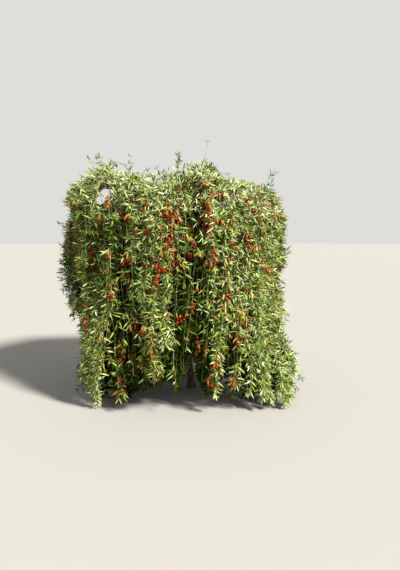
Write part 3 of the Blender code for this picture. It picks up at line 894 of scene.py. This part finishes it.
for i in range(7):                                     # the left side, seen edge-on from the front
    centre = math.radians(RNG.uniform(160, 204))
    for k in range(7):
        b = centre + RNG.normal(0, 0.03)
        low = max(skirt_bottom(b) * RNG.uniform(0.7, 1.2), 0.58 if b > 2.95 else 0.30) + abs(RNG.normal(0, 0.08))
        weeping(b, abs(RNG.normal(0.0, 0.02)) + 0.035, low, RNG.uniform(0.5, 0.9), float(RNG.random() < 0.6))
for k in range(34):                                    # behind the right-hand strands
    b = math.radians(298 + 50 * (k + RNG.random()) / 34)
    weeping(b, RNG.uniform(0.09, 0.20), 0.05 + abs(RNG.normal(0, 0.06)), RNG.uniform(0.4, 0.8), 0.3, leafy=1.5)
for k in range(26):                                    # behind the short strands at the left
    b = math.radians(162 + 56 * (k + RNG.random()) / 26)
    weeping(b, RNG.uniform(0.22, 0.36), 0.22 + abs(RNG.normal(0, 0.10)), RNG.uniform(0.25, 0.5), 0.3, leafy=1.5)
for k in range(70):                                    # far in, so that no daylight comes through low down
    b = math.radians(200 + 148 * (k + RNG.random()) / 70)
    weeping(b, RNG.uniform(0.17, 0.34), 0.10 + abs(RNG.normal(0, 0.06)), RNG.uniform(0.25, 0.6), 0.3, leafy=1.4)
for k in range(76):                                    # behind the left side
    b = math.radians(RNG.uniform(186, 232) if k % 2 else RNG.uniform(128, 190))
    low = max(0.16, skirt_bottom(b) - 0.02) + abs(RNG.normal(0, 0.12))
    low = max(low, 0.56) if 3.2 < b < 3.84 else low
    weeping(b, RNG.uniform(0.12, 0.26), min(low, 0.8), RNG.uniform(0.45, 0.8), 0.6, leafy=1.6)


for k in range(24):                                    # the left-hand end of the front, seen from the left
    y = -0.46 + 0.42 * (k + RNG.random()) / 24
    foot = on_ray(RNG.uniform(85, 94), 340, y)
    low, high = 0.10 + abs(RNG.normal(0, 0.10)), RNG.uniform(0.75, 0.95)
    z = np.arange(high, low, -STEP)
    sway_by = 0.012 * np.sin(6 * z + RNG.uniform(0, TAU))
    line = np.stack([foot[0] + sway_by + 0.05 * (z - 0.3), np.full(len(z), y) + sway_by, z], -1)
    SHOOTS.append(Shoot(kinked(line, 0.0022), 0.0017, 0.0008, "edge", None, float(RNG.random() < 0.4), 1.0, 0.0))
for k in range(12):                                    # the middle of the right side
    b = math.radians(RNG.uniform(2, 15))
    weeping(b, RNG.uniform(0.03, 0.10), RNG.uniform(0.36, 0.60), RNG.uniform(0.5, 0.9), float(RNG.random() < 0.5))
for k in range(14):                                    # and of the left side, further back
    b = math.radians(RNG.uniform(148, 167))
    weeping(b, RNG.uniform(0.03, 0.12), RNG.uniform(0.32, 0.55), RNG.uniform(0.5, 0.9), float(RNG.random() < 0.5))
for k in range(12):                                    # low down behind the strands at the right
    b = math.radians(RNG.uniform(306, 344))
    weeping(b, RNG.uniform(0.12, 0.24), RNG.uniform(0.04, 0.10), RNG.uniform(0.4, 0.7), 0.0, leafy=1.6)
for k in range(10):                                    # and the middle of the left side
    b = math.radians(RNG.uniform(166, 178))
    weeping(b, RNG.uniform(0.03, 0.09), RNG.uniform(0.46, 0.62) if b < 3.05 else RNG.uniform(0.58, 0.66),
            RNG.uniform(0.5, 0.9), float(RNG.random() < 0.6))


def through_sky(s):
    px, py = seen_at(s.p)
    return any(((gap_at(px, py, gap) ** 2).sum(-1) < 1.2).any() and RNG.random() < gap[5] for gap in SKY)




def through_veil(s):
    px, py = seen_at(s.p)
    return any((((px - x) / w) ** 2 + ((py - y) / h) ** 2 < 0.8).any() for x, y, w, h in VEIL)


SHOOTS = [s for s in SHOOTS if s.kind != "weep" or s.leafy < 1.1 or RNG.random() > 0.6 or not through_veil(s)]

# laterals: short side shoots that hang beside the long ones
for s in [s for s in SHOOTS if s.kind in ("weep", "edge")]:
    n = len(s.p)
    for k in range(max(1, int(n * (0.035 if s.leafy > 1.1 else 0.07)))):
        i = int(RNG.integers(int(n * 0.12), max(int(n * 0.12) + 1, n - 3)))
        a = s.p[i]
        t = s.p[min(i + 2, n - 1)] - s.p[i]
        t = t / max(np.linalg.norm(t), 1e-9)
        high = min(1.0, max(0.0, (a[2] - 0.45) / 0.6))     # further up, they arch more freely
        ang = RNG.uniform(0, TAU)
        out = np.array([a[0] - CENTRE_X, a[1], 0.0])
        out /= max(np.linalg.norm(out), 1e-9)
        side = np.array([-out[1], out[0], 0.0])
        d = side * math.cos(ang) * (1 + high) + out * (0.15 + 0.4 * math.sin(ang))
        length = RNG.uniform(0.05, 0.14 + 0.08 * high)
        line = [a]
        v = unit(0.7 * d + (0.5 - 0.6 * high) * t + np.array([0, 0, 0.15 + 0.25 * high * RNG.random()]))
        for _ in range(max(3, int(length / STEP))):
            v = unit(v + np.array([0, 0, -0.30 + 0.14 * high]) + RNG.normal(0, 0.07, 3))
            line.append(line[-1] + v * STEP)
        line = np.array(line)
        if line[-1][2] < 0.01 or behind_surface(line[-1:])[0] < -0.012:
            continue
        SHOOTS.append(Shoot(line, 0.0013, 0.0007, "side", s.tone, s.fruit, 1.0, 0.0))

def dome_spray(b, rho, lower=0.0):
    q = place(b, rho * plan_radius(b), 0)
    top = top_height(q.x, q.y) - lower
    length = RNG.uniform(0.10, 0.22)
    out_by = 0.09 * rho**2 + 0.02
    base = Vector((q.x - math.cos(b) * out_by, q.y - math.sin(b) * out_by, top + 0.004 - length - abs(RNG.normal(0.0, 0.035))))
    base = np.array(sway(base))
    lean = 0.10 + 0.55 * rho**2
    v = unit(np.array([math.cos(b) * lean, math.sin(b) * lean, 1.0]) + RNG.normal(0, 0.30, 3))
    line = [base]
    droop = RNG.uniform(0.02, 0.09) * (0.4 + rho)
    for _ in range(max(4, int(length / STEP))):
        v = unit(v + np.array([math.cos(b) * 0.04 * rho, math.sin(b) * 0.04 * rho, -droop]) + RNG.normal(0, 0.05, 3))
        line.append(line[-1] + v * STEP)
    return Shoot(np.array(line), 0.0017, 0.0007, "tip", None, float(RNG.random() < 0.4), 1.1, 0.0)


# dome sprays: leafy tips that stand up along the top and the shoulders
for k in range(540):
    turn = RNG.uniform(0, TAU)
    SHOOTS.append(dome_spray(turn, math.sqrt(RNG.random()) * 0.97))

SHOOTS = [s for s in SHOOTS if s.kind not in ("side", "tip") or not through_sky(s)]
for k in range(130):                                   # more over the middle of the top, where few canes run
    x, y = (RNG.uniform(0.22, 0.50), RNG.uniform(-0.18, 0.50)) if k % 2 else (RNG.uniform(-0.34, 0.20), RNG.uniform(-0.10, 0.45))
    turn = math.atan2(y, x - CENTRE_X)
    spray = dome_spray(turn, math.hypot(x - CENTRE_X, y) / plan_radius(turn), 0.02)
    if ((gap_at(*seen_at(spray.p), SKY[0]) ** 2).sum(-1) > 1.3).all():
        SHOOTS.append(spray)


def slim_shoot(x, y, foot, tip, lean, leafy):
    line = []
    n = int((tip - foot) / STEP) + 1
    for i in range(n + 1):
        t = i / n
        line.append((x + lean * t * t + 0.004 * math.sin(5 * t), y + 0.003 * math.cos(4 * t), foot + (tip - foot) * t))
    SHOOTS.append(Shoot(kinked(np.array(line), 0.0012), 0.0019, 0.0007, "slim", None, 0.0, leafy, 0.0))


# a short spray with fruit that hangs across the sky at the left shoulder
probe = np.array([on_ray(109, 196, y) for y in np.arange(-0.74, 0.0, 0.008)])
hang_y = float(probe[int(np.argmax(behind_surface(probe) > 0.012)), 1])
SHOOTS.append(Shoot(np.array([on_ray(x, y, hang_y) for x, y in
                              ((114, 182), (112, 185.5), (110.6, 189), (109.8, 192.5), (109.4, 196), (109.2, 199.5), (109.0, 203))]),
                    0.0014, 0.0008, "hang", None, 1.0, 0.5, 0.0))
for k in range(28):                                    # single leading shoots above the top
    b = RNG.uniform(0, TAU)
    rho = math.sqrt(RNG.random()) * 0.93
    q = place(b, rho * plan_radius(b), 0)
    top = top_height(q.x, q.y)
    v = unit(np.array([math.cos(b) * 0.35 * rho, math.sin(b) * 0.35 * rho, 1.0]) + RNG.normal(0, 0.26, 3))
    line = [np.array(sway(Vector((q.x, q.y, top - 0.10))))]
    rise = 0.09 + RNG.uniform(0.0, 0.085)
    for _ in range(int(rise / STEP) + 1):
        v = unit(v + RNG.normal(0, 0.06, 3))
        line.append(line[-1] + v * STEP)
    SHOOTS.append(Shoot(np.array(line), 0.0014, 0.0007, "slim", None, 0.0, 0.9, 0.0))
slim_shoot(0.092, -0.060, 1.42, 1.695, 0.022, 0.55)
slim_shoot(-0.095, -0.090, 1.36, 1.590, 0.024, 0.7)
slim_shoot(0.520, -0.050, 1.28, 1.500, 0.050, 1.0)

# ------------------------------------------------------------------ nodes along all the canes
KINDS = {"limb": 0, "weep": 1, "edge": 1, "side": 2, "tip": 3, "slim": 4, "hang": 5}
SPRAY = 7                                              # nodes that share a tone
at, tangent, kind_of, leafy_of, last, spray_of, fruit_of, cane_of = [], [], [], [], [], [], [], []
sprays = 0
for c, s in enumerate(SHOOTS):
    i0 = int(s.start * len(s.p))
    P = s.p[i0:]
    m = len(P)
    at.append(P)
    tangent.append(unit(np.gradient(s.p, axis=0))[i0:])
    kind_of.append(np.full(m, KINDS[s.kind]))
    leafy_of.append(np.full(m, s.leafy))
    fruit_of.append(np.full(m, s.fruit))
    cane_of.append(np.full(m, c))
    e = np.zeros(m)
    e[-1] = 1
    last.append(e)
    spray_of.append(sprays + np.arange(m) // SPRAY)
    sprays += (m - 1) // SPRAY + 1
at, tangent, kind_of, leafy_of, last, spray_of, fruit_of, cane_of = map(
    np.concatenate, (at, tangent, kind_of, leafy_of, last, spray_of, fruit_of, cane_of))
outward = at - np.array([CENTRE_X, 0.0, 0.0])
outward[:, 2] = 0
outward = unit(outward)
behind = behind_surface(at)
bare = np.array([s.kind == "edge" for s in SHOOTS])[cane_of]           # nothing hangs outside these at the left
behind = np.where(bare, np.minimum(behind, 0.035), behind)
print("canes", len(SHOOTS), "nodes", len(at))

# the tone of each spray, painted light and shade with random variation, comes from its middle
first = np.searchsorted(spray_of, np.arange(sprays))
middle = at[np.minimum(first + SPRAY // 2, len(at) - 1)]
spray_tone_and_painted_light = painted_light_and_shade(middle)
# slim shoots and a third of the upright tips take darker tones: painted shade for leaves seen dark against the sky
slim = kind_of[np.minimum(first, len(at) - 1)] == 4
spray_tone_and_painted_light = np.where(slim, 0.9, spray_tone_and_painted_light) + RNG.normal(0, 0.75, sprays)
upright = kind_of[np.minimum(first, len(at) - 1)] == 3
spray_tone_and_painted_light = np.where(upright & (RNG.random(sprays) < 0.32), spray_tone_and_painted_light - 2.6, spray_tone_and_painted_light)
spray_tone_and_painted_light = np.clip(np.round(spray_tone_and_painted_light), 0, 5).astype(int)

# leaves: a few at every node, in tufts with thinner lengths between them
tuft = np.array([noise.noise(Vector(p) * 15.0) + 0.5 * noise.noise(Vector(p) * 34.0) for p in at])
tuft = np.clip(0.5 + 1.5 * tuft, 0, 1)
within = np.where((at[:, 2] < 0.65) & (at[:, 1] < 0.1), 2.6, 0.95)
wanted = np.where(behind < 0.085, 0.8 + 4.4 * tuft, np.where(behind < 0.12, 0.8 + 0.9 * tuft, within))
count = RNG.poisson(wanted * leafy_of)
count = np.where(kind_of == 3, count + 1, count)
count = np.where(last > 0, count + 4, count)
idx = np.repeat(np.arange(len(at)), count)
n = len(idx)
T, O = tangent[idx], outward[idx]
ref = np.where(np.abs(T[:, 2:3]) > 0.8, np.array([[1.0, 0, 0]]), np.array([[0, 0, 1.0]]))
U = unit(np.cross(T, ref))
V = np.cross(T, U)
phi = RNG.uniform(0, TAU, n)
ring = U * np.cos(phi)[:, None] + V * np.sin(phi)[:, None]
ring = unit(ring + O * RNG.uniform(0.0, 0.6, n)[:, None])
alpha = np.radians(RNG.normal(76, 24, n).clip(28, 130))
alpha = np.where(kind_of[idx] >= 3, alpha * 0.75, alpha)
alpha = np.where(last[idx] > 0, alpha * RNG.uniform(0.3, 1.0, n), alpha)
D = unit(ring * np.sin(alpha)[:, None] + T * np.cos(alpha)[:, None])
hang = np.where(kind_of[idx] >= 3, 0.0, -0.15)
D = unit(D + np.stack([np.zeros(n), np.zeros(n), hang * RNG.uniform(-1.3, 2.2, n)], -1))
face = unit(np.array([0, 0, 1.0]) * RNG.uniform(0.2, 1.0, n)[:, None] + O * RNG.uniform(0.1, 1.0, n)[:, None]
            + RNG.normal(0, 0.45, (n, 3)))
length = RNG.normal(0.0425, 0.0110, n).clip(0.018, 0.068)
length *= np.where(kind_of[idx] == 4, 0.75, 1.0) * np.where(last[idx] > 0, 0.85, 1.0)
width = length * RNG.uniform(0.130, 0.190, n)
curl = RNG.normal(0.10, 0.11, n)
fold = RNG.uniform(0.05, 0.35, n)
high = np.clip((at[idx][:, 2] - 1.12) / 0.15, 0, 1)
within = behind[idx] > 0.125 + 0.04 * high                           # leaves behind are broader and face outwards
face = np.where(within[:, None], unit(O + RNG.normal(0, 0.35, (n, 3))), face)
length = np.where(within, length * np.where(at[idx][:, 2] > 0.4, 1.30, 1.0), length)
width = np.where(within, length * RNG.uniform(0.22, 0.30, n), width)
base = at[idx] + ring * 0.0012
tip = base + D * length[:, None]
px, py = seen_at((base + tip) / 2)
keep = np.ones(n, bool)
roll = RNG.random(n)
front = base[:, 1] < -0.02
for x, y, w, h, share, cleared in DARK:
    keep &= ~(front & (behind[idx] < cleared) & (roll < (share - 0.35) * in_zone(px, py, (x, y, w, h))))
bx, by = seen_at(base)
tx, ty = seen_at(tip)
for gap in SKY:
    e_mid, e_base, e_tip = ((gap_at(a, c, gap) ** 2).sum(-1) for a, c in ((px, py), (bx, by), (tx, ty)))
    e = np.minimum(np.minimum(e_mid, e_base), e_tip)
    if gap[5] >= 0.85:
        ragged = np.array([noise.noise(Vector((a / 2.6, c / 2.6, 9.0))) for a, c in zip(px, py)])
        e = e * np.clip(1 + 2.2 * ragged, 0.35, 4)
        across = (kind_of[idx] == 5) | ((e_base > 1.3) & (behind[idx] < 0.07) & (RNG.random(n) < 0.10))
        e = np.where(across, 9.0, e)
    keep &= ~(roll < gap[5] * np.clip((1.15 - e) / 0.35, 0, 1))
for x, y, w, h in VEIL:
    e = ((px - x) / w) ** 2 + ((py - y) / h) ** 2
    thin = np.where((behind[idx] > 0.045) | (base[:, 1] > -0.15), 0.90, 0.35)
    keep &= ~(roll < thin * np.clip((1.3 - e) / 0.4, 0, 1))
keep &= ~((base[:, 1] < -0.05) & (base[:, 2] < 0.8) & (ty > np.interp(tx, EDGE_X, EDGE_Y) + 3 + 5 * roll))
e = ((px - TRUNK_GAP[0]) / TRUNK_GAP[2]) ** 2 + ((py - TRUNK_GAP[1]) / TRUNK_GAP[3]) ** 2
keep &= ~((base[:, 1] < 0.03) & (roll < 1.5 * (1.25 - e)))
upper = np.where(py < 235)[0]
speck = np.full(n, -1.0)
for xs, ys in ((px, py), (bx, by), (tx, ty)):
    speck[upper] = np.maximum(speck[upper], [noise.noise(Vector((a / 3.8, c / 3.8, 5.0))) for a, c in zip(xs[upper], ys[upper])])
for x, y, w, h in AIRY:
    e = ((px - x) / w) ** 2 + ((py - y) / h) ** 2
    keep &= ~((speck > 0.20 + 0.30 * e) & (roll < 0.97))
tip_behind = behind_surface(tip)
sideways = np.abs(outward[idx][:, 0]) > 0.75
keep &= (tip_behind > np.where((kind_of[idx] == 3) | sideways, -0.042, -0.030)) | (kind_of[idx] >= 4)
keep &= np.minimum(base[:, 2], tip[:, 2]) > 0.004
keep &= ~((base[:, 1] > 0.12) & (behind[idx] > 0.17) & (RNG.random(n) < 0.45))
tone_ix = spray_tone_and_painted_light[spray_of[idx]]
mix = np.cumsum(np.array(MIXES), axis=1)
pick = RNG.random(n)
leaf_tone = (pick[:, None] > mix[tone_ix]).sum(1).clip(0, 6)
inner = (behind[idx] > 0.038) | (tip_behind > 0.06)
deep = (behind[idx] > 0.095) & (at[idx][:, 2] > 0.10)
# leaves further inside the crown take the darkest tones: painted shade, less of it near the top
painted_inner_shade = RNG.random(n) < np.clip((behind[idx] - 0.060) / 0.05, 0, 1.0) * (1 - 0.7 * high)
leaf_tone = np.where(painted_inner_shade, np.minimum(leaf_tone, (RNG.random(n) < 0.25 - 1.5 * (behind[idx] - 0.09)).astype(int)), leaf_tone)
# leaves deep behind the surface take the darkest tone: painted shade
leaf_tone = np.where(within, 0, leaf_tone)
wealth = fruit_wealth(at)
ochre = (RNG.random(sprays) < 0.13)[spray_of[idx]] & ~painted_inner_shade & (RNG.random(n) < 0.4)
leaf_tone = np.where(ochre & (leaf_tone > 1) & (leaf_tone < 6), 7, leaf_tone)
russet = (RNG.random(n) < 0.04 + 0.19 * wealth[idx]) & ~within
leaf_tone = np.where(russet & (leaf_tone > 0) & (leaf_tone < 5), 8, leaf_tone)

leaf_pieces = []
total = 0
for lo, hi in ((-1, 0.0), (0.0, 0.045), (0.045, 0.08), (0.08, 0.12), (0.12, 0.2), (0.2, 0.3), (0.3, 2)):
    band = keep & (behind[idx] >= lo) & (behind[idx] < hi)
    print("depth", lo, hi, int(band.sum()), int((band & front).sum()), int((band & (kind_of[idx] == 3)).sum()))
for t, tname in enumerate(TONE_NAMES):
    mat = plain(tname, *TONES[tname], bump_scale=420, bump_strength=0.25)
    sel_f = np.where(keep & (leaf_tone == t) & ~inner)[0]
    sel_l = np.where(keep & (leaf_tone == t) & inner & ~deep)[0]
    sel_d = np.where(keep & (leaf_tone == t) & inner & deep)[0]
    parts = max(1, math.ceil((len(sel_f) * 8 + len(sel_l) * 4 + len(sel_d) * 2) / 192000))
    for c in range(parts):
        heap = Heap()
        for sel, template in ((sel_f[c::parts], LEAF_FULL), (sel_l[c::parts], LEAF_LITE), (sel_d[c::parts], LEAF_DEEP)):
            if len(sel):
                heap.add(*leaf_arrays(base[sel], D[sel], face[sel], length[sel], width[sel], curl[sel], fold[sel], template))
        leaf_pieces.append(heap.make(f"{tname}_{c + 1}", mat))
        total += heap.faces
    print("leaves", tname, len(sel_f), len(sel_l), len(sel_d), parts)
print("leaf triangles", total, "leaves", int(keep.sum()))

# ------------------------------------------------------------------ canes
cane_mats = {
    "cane_old": plain("cane_old", (0.20, 0.155, 0.10), 0.8, 0.3, 300, 0.4),
    "cane_straw": plain("cane_straw", (0.30, 0.26, 0.14), 0.65, 0.3, 400, 0.3),
    "cane_green": plain("cane_green", (0.15, 0.19, 0.055), 0.6, 0.3, 400, 0.3),
}
cane = {k: [Heap()] for k in cane_mats}
for k, s in enumerate(SHOOTS):
    which = "cane_old" if s.kind == "limb" else "cane_straw" if (s.kind == "weep" and k % 3 == 0) else "cane_green"
    sides = 7 if s.kind == "limb" else 3
    P, R = s.p, s.r
    if s.kind != "limb" and len(P) > 6:
        hidden = s.kind == "weep" and s.leafy > 1.1
        every = 7 if hidden else 2 if s.kind == "tip" else 3
        keep_i = np.unique(np.concatenate([np.arange(0, len(P), every), [len(P) - 1], np.where(beside_gap(P))[0]]))
        P, R = P[keep_i], R[keep_i]
    v, f = tube_arrays(P, R, sides, caps=s.kind == 'limb')
    if cane[which][-1].faces + len(f) > 190000:
        cane[which].append(Heap())
    cane[which][-1].add(v, f)
cane_pieces = []
for k, heaps in cane.items():
    for c, h in enumerate(heaps):
        cane_pieces.append(h.make(f"{k}_{c + 1}", cane_mats[k]))
        total += h.faces
        print("canes", k, h.faces)

# ------------------------------------------------------------------ berries
def berry_template(segments, rings):
    """A long round berry hanging down -Z from its top at the origin, unit length."""
    v, f = [(0, 0, 0)], []
    for i in range(1, rings):
        t = i / rings
        r = 0.5 * math.sin(math.pi * t**0.92) ** 0.75
        for j in range(segments):
            a = j / segments * TAU
            v.append((r * math.cos(a), r * math.sin(a), -t))
    v.append((0, 0, -1.0))
    for j in range(segments):
        f.append((0, 1 + j, 1 + (j + 1) % segments))
        low = 1 + (rings - 2) * segments
        f.append((low + (j + 1) % segments, low + j, len(v) - 1))
    for i in range(rings - 2):
        a, b = 1 + i * segments, 1 + (i + 1) * segments
        for j in range(segments):
            k = (j + 1) % segments
            f += [(a + j, b + j, b + k), (a + j, b + k, a + k)]
    return np.array(v, float), np.array(f)


def calyx_template():
    """A little green cup with pointed teeth over the berry's top."""
    v, f = [(0, 0, 0.10)], []
    for j in range(5):
        a = j / 5 * TAU
        v.append((0.22 * math.cos(a), 0.22 * math.sin(a), -0.04))
        v.append((0.34 * math.cos(a + 0.63), 0.34 * math.sin(a + 0.63), -0.24))
    for j in range(5):
        a, b, c = 1 + 2 * j, 2 + 2 * j, 1 + 2 * ((j + 1) % 5)
        f += [(0, a, c), (a, b, c)]
    return np.array(v, float), np.array(f)


def spread(template, where, axis, length, width):
    """Copies of a template whose -Z runs along axis."""
    Vt, F = template
    a = unit(axis)
    ref = np.where(np.abs(a[:, 2:3]) > 0.8, np.array([[1.0, 0, 0]]), np.array([[0, 0, 1.0]]))
    U = unit(np.cross(a, ref))
    W = np.cross(U, a)
    v = (where[:, None] + U[:, None] * (Vt[None, :, 0, None] * width[:, None, None])
         + W[:, None] * (Vt[None, :, 1, None] * width[:, None, None])
         - a[:, None] * (Vt[None, :, 2, None] * length[:, None, None]))
    f = F[None] + (np.arange(len(where)) * len(Vt))[:, None, None]
    return v.reshape(-1, 3), f.reshape(-1, 3)


# fruit comes in runs along a cane, a few nodes long
able = (kind_of != 0) & (kind_of != 4) & (behind < np.where((at[:, 1] < -0.1) & (at[:, 2] < 0.75), 0.17, 0.105)) & (behind > -0.02)
bearing = []
_, node_y = seen_at(at)
lofty = np.clip((212 - node_y) / 25, 0, 1) * (at[:, 1] < -0.02)
i = 0
begins = RNG.random(len(at))
while i < len(at):
    if kind_of[i] == 5:
        bearing += [i] * (2 if seen_at(at[i])[1][0] > 190.5 else 0)
        i += 1
        continue
    rate = wealth[i] * (0.30 + 0.70 * (fruit_of[i] > 0.4)) * (0.108 if behind[i] < 0.080 else 0.068) * (1.1 if at[i, 2] > 0.75 else 0.95) * (1 + 1.3 * lofty[i])
    if able[i] and begins[i] < rate:
        run = int(RNG.integers(2, 7))
        for j in range(i, min(i + run, len(at))):
            if cane_of[j] == cane_of[i] and able[j]:
                bearing += [j] * int(RNG.choice([1, 2, 3], p=[0.25, 0.40, 0.35]))
        i += run
    i += 1
bi = np.array(bearing)
m = len(bi)
start = at[bi]
dirn = unit(outward[bi] * RNG.uniform(0.2, 1.1, m)[:, None] + RNG.normal(0, 0.5, (m, 3)) + np.array([0, 0, -0.5]))
stalk = RNG.uniform(0.010, 0.022, m)
elbow = start + dirn * stalk[:, None] * 0.6
hangd = unit(dirn * 0.35 + np.array([0, 0, -1.0]) + RNG.normal(0, 0.12, (m, 3)))
top = elbow + hangd * stalk[:, None] * 0.6
blen = RNG.normal(0.0255, 0.0042, m).clip(0.014, 0.032)
bwid = blen * RNG.uniform(0.50, 0.62, m)
ok = (top[:, 2] - blen) > 0.01
px, py = seen_at(top)
for gap in SKY:
    ok &= ((gap_at(px, py, gap) ** 2).sum(-1) > (1.2 if gap[5] == 1 or gap[5] < 0.85 else 5)) | (kind_of[bi] == 5)
BERRIES = {
    "berry_red": ((0.150, 0.010, 0.002), 0.32),
    "berry_orange": ((0.200, 0.034, 0.003), 0.34),
    "berry_deep": ((0.095, 0.004, 0.002), 0.30),
    "berry_turning": ((0.27, 0.092, 0.008), 0.38),
}
# a run ripens together
ripe = RNG.random(len(SHOOTS))[cane_of[bi]] * 0.5 + RNG.random(m) * 0.5
colour_ix = np.digitize(ripe, (0.40, 0.66, 0.86))
colour_ix = np.choose(colour_ix, (0, 1, 2, 3))
berry_pieces = []
for k, (bname, (colour, rough)) in enumerate(BERRIES.items()):
    mat = plain(bname, colour, rough, 0.14, 160, 0.12)
    sel = np.where(ok & (colour_ix == k))[0]
    heap = Heap()
    for rings, some in ((4, sel[behind[bi][sel] <= 0.05]), (3, sel[behind[bi][sel] > 0.05])):
        heap.add(*spread(berry_template(5, rings), top[some], hangd[some], blen[some], bwid[some]))
    berry_pieces.append(heap.make(bname, mat))
    total += heap.faces
    print("berries", bname, len(sel), heap.faces)
stalks = Heap()
sel = np.where(ok)[0]
cup = np.where(ok & (behind[bi] < 0.05))[0]
stalks.add(*spread(calyx_template(), top[cup], hangd[cup], bwid[cup], bwid[cup] * 1.05))
tri = np.array([[math.cos(a), math.sin(a), 0.0] for a in (0, TAU / 3, 2 * TAU / 3)])[None] * 0.0006
v = np.concatenate([start[sel][:, None] + tri, top[sel][:, None] + tri], 1)
F = np.array([q for j in range(3) for q in ((j, (j + 1) % 3, 3 + (j + 1) % 3), (j, 3 + (j + 1) % 3, 3 + j))])
stalks.add(v.reshape(-1, 3), (F[None] + (np.arange(len(sel)) * 6)[:, None, None]).reshape(-1, 3))
stalk_piece = stalks.make("stalks", plain("stalk_green", (0.20, 0.30, 0.08), 0.5, 0.4, 400, 0.2))
total += stalks.faces

# ------------------------------------------------------------------ bark
# the trunk's bark, its own dark and pale grain darkened as painted shade from the foliage over it
bark = bark_material("bark_old_painted_shade", (0.026, 0.019, 0.013), (0.068, 0.050, 0.034), (0.150, 0.120, 0.088), 70)
bark_young = bark_material("bark_young", (0.045, 0.034, 0.022), (0.110, 0.086, 0.056), (0.215, 0.180, 0.125), 90)
trunk_piece = trunk_heap.make("trunk_bark", bark)
bough_piece = wood.make("bough_bark", bark_young)
total += trunk_heap.faces + wood.faces
print("all triangles", total)

WOOD = [n for n in NODES if n.startswith("bough")]
MASSES = [n for n in NODES if n.startswith(("canopy", "hang", "shoot"))]
for ob in leaf_pieces + cane_pieces + berry_pieces + [stalk_piece, trunk_piece, bough_piece]:
    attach(ob, "root")
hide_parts("trunk")
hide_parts(*WOOD)
for ob in leaf_pieces:
    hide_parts(*MASSES)

# ------------------------------------------------------------------ floor, light, camera
bpy.ops.mesh.primitive_circle_add(vertices=96, radius=60, fill_type="NGON", location=(0, 0, -0.0005))
floor = bpy.context.object
floor.name = "floor"
fm = plain("floor_pale", (0.235, 0.230, 0.215), 0.9, 0.2, 8, 0.05)
floor.data.materials.append(fm)
floor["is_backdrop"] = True

world = bpy.data.worlds.new("studio")
bpy.context.scene.world = world
world.use_nodes = True
bg = world.node_tree.nodes["Background"]
bg.inputs["Color"].default_value = (1.0, 0.99, 0.95, 1)
bg.inputs["Strength"].default_value = 0.74


def area(name, where, at_point, size, power, colour):
    light = bpy.data.lights.new(name, "AREA")
    light.size = size
    light.energy = power
    light.color = colour
    ob = bpy.data.objects.new(name, light)
    bpy.context.scene.collection.objects.link(ob)
    ob.location = where
    ob.rotation_euler = (Vector(at_point) - Vector(where)).to_track_quat("-Z", "Y").to_euler()
    return ob


key = bpy.data.lights.new("key", "SUN")
key.angle = 0.16
key.energy = 13.5
key.color = (1.0, 0.97, 0.91)
key_ob = bpy.data.objects.new("key", key)
bpy.context.scene.collection.objects.link(key_ob)
key_ob.location = (4.4, -3.9, 5.8)
key_ob.rotation_euler = (-Vector((4.4, -3.9, 5.0))).to_track_quat("-Z", "Y").to_euler()
area("fill", (-2.0, -6.0, 3.0), (0, 0, 0.8), 4.0, 60, (1.0, 1.0, 0.98))

cam_data = bpy.data.cameras.new("camera")
cam_data.sensor_fit = "AUTO"
cam_data.sensor_width = 36
cam_data.lens = FOCAL * 36 / 570
cam = bpy.data.objects.new("camera", cam_data)
bpy.context.scene.collection.objects.link(cam)
cam.location = CAM
cam.rotation_euler = (math.pi / 2 - PITCH, 0, 0)
bpy.context.scene.camera = cam
bpy.context.scene.view_settings.view_transform = "Standard"

low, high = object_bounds()
